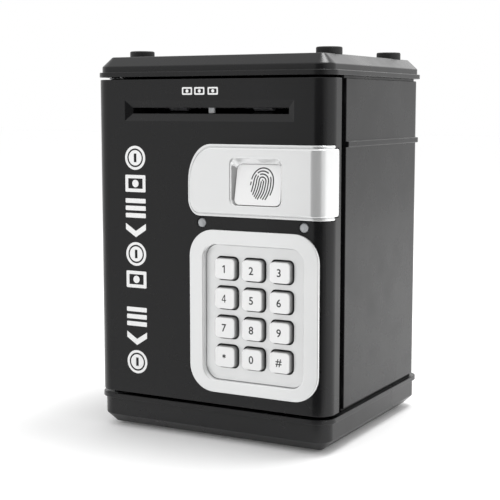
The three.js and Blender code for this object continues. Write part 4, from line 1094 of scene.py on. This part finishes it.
# %% Column and banknote signs
COLUMN_X, COLUMN_WIDTH = -40.35, 11.8
COIN_RADIUS, NOTE_TALL, BARS_TALL, CHEVRON_TALL = 5.9, 8.4, 9.6, 6.8
column = []
for z in (136.8, 89.3, 35.0):
    column += coin(COLUMN_X, z, COIN_RADIUS)
for z in (124.2, 76.6):
    column += banknote(COLUMN_X, z, COLUMN_WIDTH, NOTE_TALL)
for z, chevron_z in ((112.0, 101.1), (57.8, 46.9)):
    column += bars(COLUMN_X, z, COLUMN_WIDTH, BARS_TALL)
    column += chevron(COLUMN_X, chevron_z, COLUMN_WIDTH, CHEVRON_TALL)
for x in (-10.3, -3.5, 3.85):
    column += banknote(x, 169.1, 5.6, 3.6)
column_print = weld(*column)
column_print.name = "door_prints"
finish(column_print, white_print, "door", "white_keys")
print("prints", print_count)

# %% [markdown]
# ## Door: back cover
# The back of the door is closed by a cover with a deep box that holds the works. It is a plate welded to
# a box, hollowed from the front. The tray for the cells is a smaller box inside it, open at the back.

# %% Back cover
cover_low, cover_high = corners_of("door_back_cover")
BOX, BOX_WALL = (-50.0, 52.0, 24.0, 169.4), 1.8
TRAY, TRAY_WALL = (-32.0, 32.0, 31.0, 85.0), 1.2


def drawn_in(rect, inset, radius):
    return rectangle(rect[0] + inset, rect[1] - inset, rect[2] + inset, rect[3] - inset, radius)


plate = rectangle(cover_low.x, cover_high.x, cover_low.z, cover_high.z, 1.5)
cover = slab("door_back_cover_body", "y", plate, cover_low.y, -44.9, 0.2, 0.5)
weld(cover, slab("box", "y", drawn_in(BOX, 0, 4.0), cover_low.y + 0.1, cover_high.y, 0.1, 1.6, 5))
hollow = slab("hollow", "y", drawn_in(BOX, BOX_WALL, 2.4), cover_low.y - 1, cover_high.y - BOX_WALL, 0.1, 0.8)
carve(cover, hollow)
weld(cover, slab("tray", "y", drawn_in(TRAY, 0, 1.5), -46.0, cover_high.y - 0.9, 0.3, 0.1))
tray_mouth = eased([(0, -44.8), (0, cover_high.y - 0.5), (-1.5, cover_high.y + 1)], 0.3)
carve(cover, stacked("tray_hollow", "y", drawn_in(TRAY, TRAY_WALL, 1.0), tray_mouth))
exit_side = eased([(0, -28), (0, cover_high.y - 0.7), (-1.2, cover_high.y), (-2.5, cover_high.y + 1)],
                  [0.3, 0.1])
carve(cover, stacked("note_exit", "y", rectangle(-43.5, 43.5, 156.6, 163.2, 0.6), exit_side))
carve(cover, slab("bolt_window", "x", rectangle(-34.0, -26.3, 118.0, 126.0, 0.4), 49, 53))
print("back cover", len(cover.data.polygons), "faces")

# %% [markdown]
# The loudspeaker sounds through five slits whose lengths follow a circle. One tree makes the cutters: a
# line of points, and on each point a rounded slit whose length comes from the chord at that height.

# %% Speaker slits
slit_tree = Tree("slits_in_a_circle", count=5, pitch=1.0, radius=1.0, thickness=1.0, depth=1.0,
                 middle=(0.0, 0.0, 0.0))
ask, calc, add = slit_tree.source, slit_tree.math, slit_tree.node
lowest = calc("MULTIPLY", calc("SUBTRACT", ask["count"], 1.0), calc("MULTIPLY", ask["pitch"], -0.5))
slit_points = add("MeshLine", {"Count": ask["count"], "Start Location": slit_tree.vector(0.0, 0.0, lowest),
                               "Offset": slit_tree.vector(0.0, 0.0, ask["pitch"])})
height = add("ShaderNodeSeparateXYZ", {0: add("InputPosition")}).node.outputs["Z"]
chord = calc("SQRT", calc("SUBTRACT", calc("MULTIPLY", ask["radius"], ask["radius"]),
                          calc("MULTIPLY", height, height)))
unit_slit = add("MeshCylinder", {"Vertices": 32, "Radius": 1.0, "Depth": 2.0})
slit_size = slit_tree.vector(chord, ask["depth"], calc("MULTIPLY", ask["thickness"], 0.5))
slits = add("InstanceOnPoints", {"Points": slit_points, "Scale": slit_size,
                                 "Instance": slit_tree.moved(unit_slit, (0, 0, 0), (math.radians(90), 0, 0))})
slit_tree.end(slit_tree.moved(slits, ask["middle"]), inner_plastic)
speaker_middle = middle_of("speaker")
grille = slit_tree.grow("grille", count=5, pitch=4.0 * MM, radius=10.5 * MM, thickness=1.6 * MM,
                        depth=2.0 * MM,
                        middle=metres(speaker_middle.x, cover_high.y - 0.9, speaker_middle.z))
carve(cover, grille)
print("grille cut")

# %% [markdown]
# Four screws hold the cover to the door. Each has a low domed head with a cross recess. One tree makes a
# screw and sets a copy on every point of the mesh that it is given, and those points are the screws'
# places in the frame.

# %% Cover screws
SCREW_NODES = ["cover_screw_1", "cover_screw_2", "cover_screw_3", "cover_screw_4"]
SCREW_HEAD = 1.5
screw_tree = Tree("cross_head_screws", points=None, head=1.0, head_height=1.0, shank=1.0, length=1.0,
                  recess=1.0)
tell, calc, add = screw_tree.source, screw_tree.math, screw_tree.node
half_head = calc("MULTIPLY", tell["head_height"], 0.5)


def raised(geometry, lift):
    return screw_tree.moved(geometry, screw_tree.vector(0.0, 0.0, lift))


cone = add("MeshCone", {"Vertices": 40, "Side Segments": 1, "Radius Bottom": tell["head"],
                        "Radius Top": calc("MULTIPLY", tell["head"], 0.66), "Depth": half_head})
disc = add("MeshCylinder", {"Vertices": 40, "Radius": tell["head"], "Depth": half_head})
shank = add("MeshCylinder", {"Vertices": 24, "Radius": tell["shank"], "Depth": tell["length"]})
solids = [raised(cone, half_head), raised(disc, calc("MULTIPLY", half_head, 0.5)),
          raised(shank, calc("MULTIPLY", tell["length"], -0.45))]
whole = add("MeshBoolean", {"Mesh 2": solids}, operation="UNION", solver="EXACT")
arm = calc("MULTIPLY", tell["recess"], 0.24)
bar_sizes = [screw_tree.vector(tell["recess"], arm, tell["head_height"]),
             screw_tree.vector(arm, tell["recess"], tell["head_height"])]
bars = [raised(add("MeshCube", {"Size": size}), tell["head_height"]) for size in bar_sizes]
cross = add("MeshBoolean", {"Mesh 1": whole, "Mesh 2": bars}, operation="DIFFERENCE", solver="EXACT")
screw_tree.end(add("InstanceOnPoints", {"Points": tell["points"], "Instance": cross,
                                        "Rotation": (math.radians(-90), 0, 0)}), bright_steel)
seat = corners_of("cover_screw_1")[1].y - SCREW_HEAD
screw_places = [(middle_of(node).x, seat, middle_of(node).z) for node in SCREW_NODES]
screws = screw_tree.grow("cover_screws", screw_places, head=2.6 * MM, head_height=SCREW_HEAD * MM,
                         shank=1.2 * MM, length=5.0 * MM, recess=2.7 * MM)
finish(screws, bright_steel, "door", "bright_steel", *SCREW_NODES)
for place in screw_places:
    carve(cover, peg("screw_hole", "y", place[0], place[2], 1.5, cover_low.y - 1, cover_high.y, 24))
finish(cover, inner_plastic, "door", "black_inner", "door_back_cover")
print("screws", len(screws.data.polygons), "faces")

# %% [markdown]
# ## Battery cover
# A plain lid closes the tray. It has a row of grip ribs near its top edge, which the rib tree repeats, and
# a shallow thumb notch above them.

# %% Battery cover
lid_low, lid_high = corners_of("battery_cover")
lid_face, RIB_PITCH = lid_high.y - 0.45, 2.2
lid = slab("battery_cover_lid", "y", rectangle(lid_low.x, lid_high.x, lid_low.z, lid_high.z, 0.8), lid_low.y,
           lid_face, 0.15, 0.3)
grip = rib_tree.grow("grip_ribs", count=6, start=metres(0, lid_face, lid_high.z - 17),
                     step=(0.0, 0.0, RIB_PITCH * MM), size=metres(22, 0.88, 0.9))
weld(lid, grip)
notch = rectangle(-8, 8, lid_high.z - 3.2, lid_high.z + 2, 2.0)
carve(lid, slab("thumb_notch", "y", notch, lid_high.y - 0.9, lid_high.y + 1, 0.3))
finish(lid, inner_plastic, "battery_cover", "black_inner", "battery_cover")
print("lid", len(lid.data.polygons), "faces")

# %% [markdown]
# ## Cells
# Three cells lie across the tray, every second one turned round. Each is a sleeve rolled over at both
# ends, a steel end disc and a raised contact, so a cell is three turned pieces: a sleeve and two caps.

# %% Cells
CELLS, CELL_RADIUS, NUB_RADIUS, NUB_HEIGHT = 3, 7.25, 2.75, 1.0
for number in range(CELLS):
    node = "battery_cell_%d" % (number + 1)
    low, high = corners_of(node)
    centre = (low + high) / 2
    way = 1 if number % 2 == 0 else -1
    minus, plus = (low.x, high.x) if way == 1 else (high.x, low.x)
    shoulder = plus - way * NUB_HEIGHT
    side = eased([(5.4, minus + way * 0.25), (5.9, minus), (CELL_RADIUS, minus), (CELL_RADIUS, shoulder),
                  (5.2, shoulder), (4.9, shoulder - way * 0.35)], [0.1, 0.6, 0.7, 0.1])
    sleeve = turned(node + "_sleeve", "x", centre.y, centre.z, side, 40)
    finish(sleeve, cell_sleeve, "door", "cell_sleeve", node)
    plus_side = eased([(0, shoulder - way * 0.3), (NUB_RADIUS, shoulder - way * 0.3), (NUB_RADIUS, plus),
                       (0, plus)], [0.05, 0.35])
    minus_side = eased([(0, minus + way * 0.4), (5.2, minus + way * 0.4), (5.2, minus + way * 0.05),
                        (0, minus + way * 0.05)], [0.02, 0.1])
    for end, end_side in (("_plus", plus_side), ("_minus", minus_side)):
        contact = turned(node + end, "x", centre.y, centre.z, end_side, 32)
        finish(contact, bright_steel, "door", "bright_steel")
print("cells", CELLS)

# %% [markdown]
# ## Gears
# The motor's pinion drives the roller through a large gear. A tooth profile is a rule: the radius swings
# between root and tip as a steep, clipped wave round the wheel. A tree applies it to a filled circle and
# pushes the face out to a solid.

# %% Gear tree
gear_tree = Tree("toothed_wheel", teeth=9, root=1.0, tip=1.0, phase=0.0, width=1.0, centre=(0.0, 0.0, 0.0))
gear, calc, add = gear_tree.source, gear_tree.math, gear_tree.node
POINTS_PER_TOOTH = 16.0
rim = add("MeshCircle", {"Vertices": calc("MULTIPLY", gear["teeth"], POINTS_PER_TOOTH), "Radius": 1.0},
          fill_type="NGON")
rim_point = add("ShaderNodeSeparateXYZ", {0: add("InputPosition")}).node.outputs
rim_turn = calc("ARCTAN2", rim_point["Y"], rim_point["X"])
wave = calc("COSINE", calc("MULTIPLY", calc("SUBTRACT", rim_turn, gear["phase"]), gear["teeth"]))
steep = calc("SUBTRACT", calc("MULTIPLY", wave, 1.9), 0.53)
clipped = calc("MAXIMUM", calc("MINIMUM", steep, 1.0), -1.0)
share_out = calc("MULTIPLY_ADD", clipped, 0.5, 0.5)
rim_radius = calc("MULTIPLY_ADD", calc("SUBTRACT", gear["tip"], gear["root"]), share_out, gear["root"])
tooth_place = gear_tree.vector(calc("MULTIPLY", rim_point["X"], rim_radius),
                               calc("MULTIPLY", rim_point["Y"], rim_radius))
toothed = add("SetPosition", {"Geometry": rim, "Position": tooth_place})
hung = gear_tree.moved(gear_tree.pushed_out(toothed, gear["width"]), gear["centre"],
                       (math.radians(90), 0, math.radians(90)))
gear_tree.end(hung, pale_nylon)

# %% Feed gear and pinion
MODULE, GEAR_TEETH, PINION_TEETH = 0.8, 27, 9
ROOT_DEPTH, TIP_HEIGHT = 1.15 * MODULE, 0.8 * MODULE
WEB_RADIUS, WEB_DEPTH, BORE_RADIUS = 8.4, 0.8, 1.55
feed_low, feed_high = corners_of("feed_gear")
feed_axis, motor_axis = middle_of("feed_shaft"), middle_of("feed_motor")
mesh_turn = math.atan2(motor_axis.z - feed_axis.z, motor_axis.y - feed_axis.y)


def toothed_wheel(name, teeth, axis, phase):
    pitch = MODULE * teeth / 2
    return gear_tree.grow(name, teeth=teeth, root=(pitch - ROOT_DEPTH) * MM, tip=(pitch + TIP_HEIGHT) * MM,
                          phase=phase, width=(feed_high.x - feed_low.x) * MM,
                          centre=metres(feed_low.x, axis.y, axis.z))


feed_wheel = toothed_wheel("feed_gear_wheel", GEAR_TEETH, feed_axis, mesh_turn)
for face in (feed_low.x, feed_high.x):
    web_side = [(0.1, face - WEB_DEPTH), (WEB_RADIUS, face - WEB_DEPTH), (WEB_RADIUS, face + WEB_DEPTH),
                (0.1, face + WEB_DEPTH)]
    carve(feed_wheel, turned("web", "x", feed_axis.y, feed_axis.z, web_side, 64))
weld(feed_wheel, peg("hub", "x", feed_axis.y, feed_axis.z, 3.4, feed_low.x, feed_high.x, 40))
carve(feed_wheel,
      peg("bore", "x", feed_axis.y, feed_axis.z, BORE_RADIUS, feed_low.x - 1, feed_high.x + 1, 32))
finish(feed_wheel, pale_nylon, "feed_roller", "pale_nylon", "feed_gear")
pinion_phase = mesh_turn + math.pi + math.pi / PINION_TEETH
pinion = toothed_wheel("motor_pinion_wheel", PINION_TEETH, motor_axis, pinion_phase)
pinion_start = corners_of("motor_pinion")[0].x
weld(pinion, peg("motor_shaft", "x", motor_axis.y, motor_axis.z, 1.0, pinion_start, feed_low.x + 1, 24))
finish(pinion, pinion_brass, "motor_pinion", "pinion_brass", "motor_pinion")
print("gear", len(feed_wheel.data.polygons), "pinion", len(pinion.data.polygons))

# %% [markdown]
# ## Rollers
# The driven rollers are rubber tyres with fine grooves along them that grip the note. A rule draws in
# every second line of points round the tyre.

# %% Rollers
ROLLER_NODES = ["feed_roller_left", "feed_roller_right"]
ROLLER_RADIUS, GROOVES, GROOVE_DEPTH = 5.0, 20, 0.35


def grooved(p):
    across, up = p.y - feed_axis.y, p.z - feed_axis.z
    radius = math.hypot(across, up)
    if radius < ROLLER_RADIUS - 0.2:
        return p
    number = round(math.atan2(up, across) / math.pi * GROOVES)
    shrink = (radius - (GROOVE_DEPTH if number % 2 else 0)) / radius
    return (p.x, feed_axis.y + across * shrink, feed_axis.z + up * shrink)


for node in ROLLER_NODES:
    low, high = corners_of(node)
    tread = eased([(3.0, low.x), (ROLLER_RADIUS, low.x), (ROLLER_RADIUS, high.x), (3.0, high.x)], 0.5)
    side = [(1.6, low.x), (1.7, low.x)] + tread + [(1.7, high.x), (1.6, high.x)]
    tyre = turned(node + "_tyre", "x", feed_axis.y, feed_axis.z, side, 2 * GROOVES)
    move_points(tyre, grooved)
    carve(tyre, peg("bore", "x", feed_axis.y, feed_axis.z, BORE_RADIUS, low.x - 1, high.x + 1, 32))
    finish(tyre, roller_rubber, "feed_roller", "roller_rubber", node, sharp=20)
print("rollers", len(ROLLER_NODES))

# %% [markdown]
# ## Lock spring
# The spring behind the bolt is a helix of round wire. Blender's spiral curve is that rule ready made, so
# the tree only sweeps a small circle along it and lays it on the bolt's axis.

# %% Lock spring
spring_low, spring_high = corners_of("lock_spring")
spring_tree = Tree("coil_spring", turns=5.0, radius=1.0, height=1.0, wire=1.0, centre=(0.0, 0.0, 0.0))
spring, add = spring_tree.source, spring_tree.node
helix = add("CurveSpiral", {"Resolution": 32, "Rotations": spring["turns"], "Start Radius": spring["radius"],
                            "End Radius": spring["radius"], "Height": spring["height"]})
wire = add("CurvePrimitiveCircle", {"Resolution": 10, "Radius": spring["wire"]})
coil = add("CurveToMesh", {"Curve": helix, "Profile Curve": wire, "Fill Caps": True})
spring_tree.end(spring_tree.moved(coil, spring["centre"], (0, math.radians(90), 0)), bright_steel)
bolt_axis = middle_of("lock_bolt")
SPRING_END = 0.4
coil_spring = spring_tree.grow("lock_spring_coil", turns=4.0, radius=3.1 * MM, wire=0.33 * MM,
                               height=(spring_high.x - spring_low.x - 2 * SPRING_END) * MM,
                               centre=metres(spring_low.x + SPRING_END, bolt_axis.y, bolt_axis.z))
finish(coil_spring, bright_steel, "door", "bright_steel", "lock_spring")
print("spring", len(coil_spring.data.polygons), "faces")

# %% [markdown]
# ## Works with plain shapes
# Frames, shafts, the motor, the solenoid, contacts and the loudspeaker have the right shape in the
# working model. A copy of each is merged, its flat faces are joined up again, and its sharp edges are
# rounded by a fraction of a millimetre, because a real moulded or machined edge always catches light.


# %% Eased copies
def eased_copy(node, material, body, slot, width):
    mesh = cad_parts[node].data.copy()
    work = bmesh.new()
    work.from_mesh(mesh)
    bmesh.ops.remove_doubles(work, verts=work.verts, dist=1e-5)
    bmesh.ops.dissolve_limit(work, angle_limit=math.radians(1), verts=work.verts, edges=work.edges)
    work.to_mesh(mesh)
    work.free()
    piece = bpy.data.objects.new(node + "_piece", mesh)
    bpy.context.scene.collection.objects.link(piece)
    step = piece.modifiers.new("ease", "BEVEL")
    step.width = width * MM
    step.segments = 3
    step.limit_method = "ANGLE"
    step.angle_limit = math.radians(40)
    bake(piece)
    return finish(piece, material, body, slot, node)


WORKS = [
    ("feeder_frame", inner_plastic, "door", "black_inner", 0.18),
    ("note_lever", pale_nylon, "note_lever", "pale_nylon", 0.12),
    ("feed_shaft", bright_steel, "feed_roller", "bright_steel", 0.2),
    ("pinch_roller", mat_rubber, "pinch_roller", "mat_rubber", 0.2),
    ("feed_motor", zinc_can, "door", "zinc_can", 0.4),
    ("lock_solenoid", zinc_can, "door", "zinc_can", 0.35),
    ("lock_bolt", bright_steel, "lock_bolt", "bright_steel", 0.45),
    ("battery_contact_left", bright_steel, "door", "bright_steel", 0.12),
    ("battery_contact_right", bright_steel, "door", "bright_steel", 0.12),
    ("speaker", inner_plastic, "door", "speaker_frame", 0.3),
    ("strike_plate", bright_steel, "case", "bright_steel", 0.2),
    ("hinge_pin_upper", bright_steel, "case", "bright_steel", 0.25),
    ("hinge_pin_lower", bright_steel, "case", "bright_steel", 0.25),
]
for node, material, body, slot, width in WORKS:
    eased_copy(node, material, body, slot, width)
print("works", len(WORKS))

# %% [markdown]
# ## Floor, lights and backdrop
# The bank stands on a plain white floor in a white studio, with a large softbox high behind its right
# side and a smaller one overhead. A black object shows mostly what it reflects. So three cards stand round
# its front: a grey one for the face, a near-black one for the rounded corner, and a middling one beyond it.
# They are seen only in reflections, so they cast no shadow and don't show.

# %% Floor and cards
FLOOR = 6000
floor = new_piece("floor", [(-FLOOR, -FLOOR, 0), (FLOOR, -FLOOR, 0), (FLOOR, FLOOR, 0), (-FLOOR, FLOOR, 0)],
                  [(0, 1, 2, 3)])
floor_white = bpy.data.materials.new("white_floor")
floor_white.use_nodes = True
fill(floor_white.node_tree.nodes["Principled BSDF"], Base_Color=(0.94, 0.94, 0.94, 1), Roughness=0.9,
     Specular_IOR_Level=0.1, Emission_Color=(1, 1, 1, 1), Emission_Strength=0.06)
floor.data.materials.append(floor_white)
CARD_CENTRE, CARD_RADIUS, CARD_HEIGHT, CARD_STEPS = Vector((55, -50)), 360, 310, 16
FOOT_LINE, FOOT_END, FOOT_HEIGHT = 53, 20, 0.4


def studio_card(name, start, end, strength):
    """An upright curved card with a foot that lies on the floor. Angles run from the door's front to its
    right. The foot ends at a line FOOT_LINE in front of the cards' centre, but never within FOOT_END of
    the upright part."""
    foot, top, near = [], [], []
    for k in range(CARD_STEPS + 1):
        turn = math.radians(start + (end - start) * k / CARD_STEPS)
        way = Vector((math.sin(turn), -math.cos(turn)))
        far = CARD_CENTRE + way * CARD_RADIUS
        close = CARD_CENTRE + way * min(FOOT_LINE / max(math.cos(turn), 0.01), CARD_RADIUS - FOOT_END)
        foot.append((*far, FOOT_HEIGHT))
        top.append((*far, CARD_HEIGHT))
        near.append((*close, FOOT_HEIGHT))
    row = CARD_STEPS + 1
    faces = [(k, k + 1, row + k + 1, row + k) for k in range(CARD_STEPS)]
    faces += [(k, k + 1, 2 * row + k + 1, 2 * row + k) for k in range(CARD_STEPS)]
    card = new_piece(name, foot + top + near, faces)
    glow = bpy.data.materials.new(name)
    glow.use_nodes = True
    glow.node_tree.nodes.clear()
    light = glow.node_tree.nodes.new("ShaderNodeEmission")
    fill(light, Strength=strength)
    out = glow.node_tree.nodes.new("ShaderNodeOutputMaterial")
    glow.node_tree.links.new(light.outputs[0], out.inputs["Surface"])
    card.data.materials.append(glow)
    card.visible_camera = card.visible_diffuse = card.visible_shadow = card.visible_transmission = False


studio_card("grey_card", -82, -19, 0.75)
studio_card("dark_card", -19, 42, 0.05)
studio_card("half_card", 42, 66, 0.55)

# %% Lights and surroundings
def softbox(name, place, target, size, brightness):
    """A square area light. brightness is what a mirror would show of it, next to a white of 1."""
    data = bpy.data.lights.new(name, "AREA")
    data.shape = "SQUARE"
    data.size = size
    data.energy = brightness * math.pi * size * size
    light = bpy.data.objects.new(name, data)
    light.location = place
    light.rotation_euler = (Vector(target) - Vector(place)).to_track_quat("-Z", "Y").to_euler()
    light.visible_camera = False
    bpy.context.scene.collection.objects.link(light)


softbox("high_softbox", (0.25, 1.0, 0.80), (0, 0, 0.1), 0.8, 0.9)
softbox("overhead_softbox", (0.22, 0.22, 1.25), (0.03, -0.03, 0.15), 0.38, 14.5)
world = bpy.data.worlds.new("white_studio")
bpy.context.scene.world = world
world.use_nodes = True
fill(world.node_tree.nodes["Background"], Color=(1, 1, 1, 1), Strength=1.0)
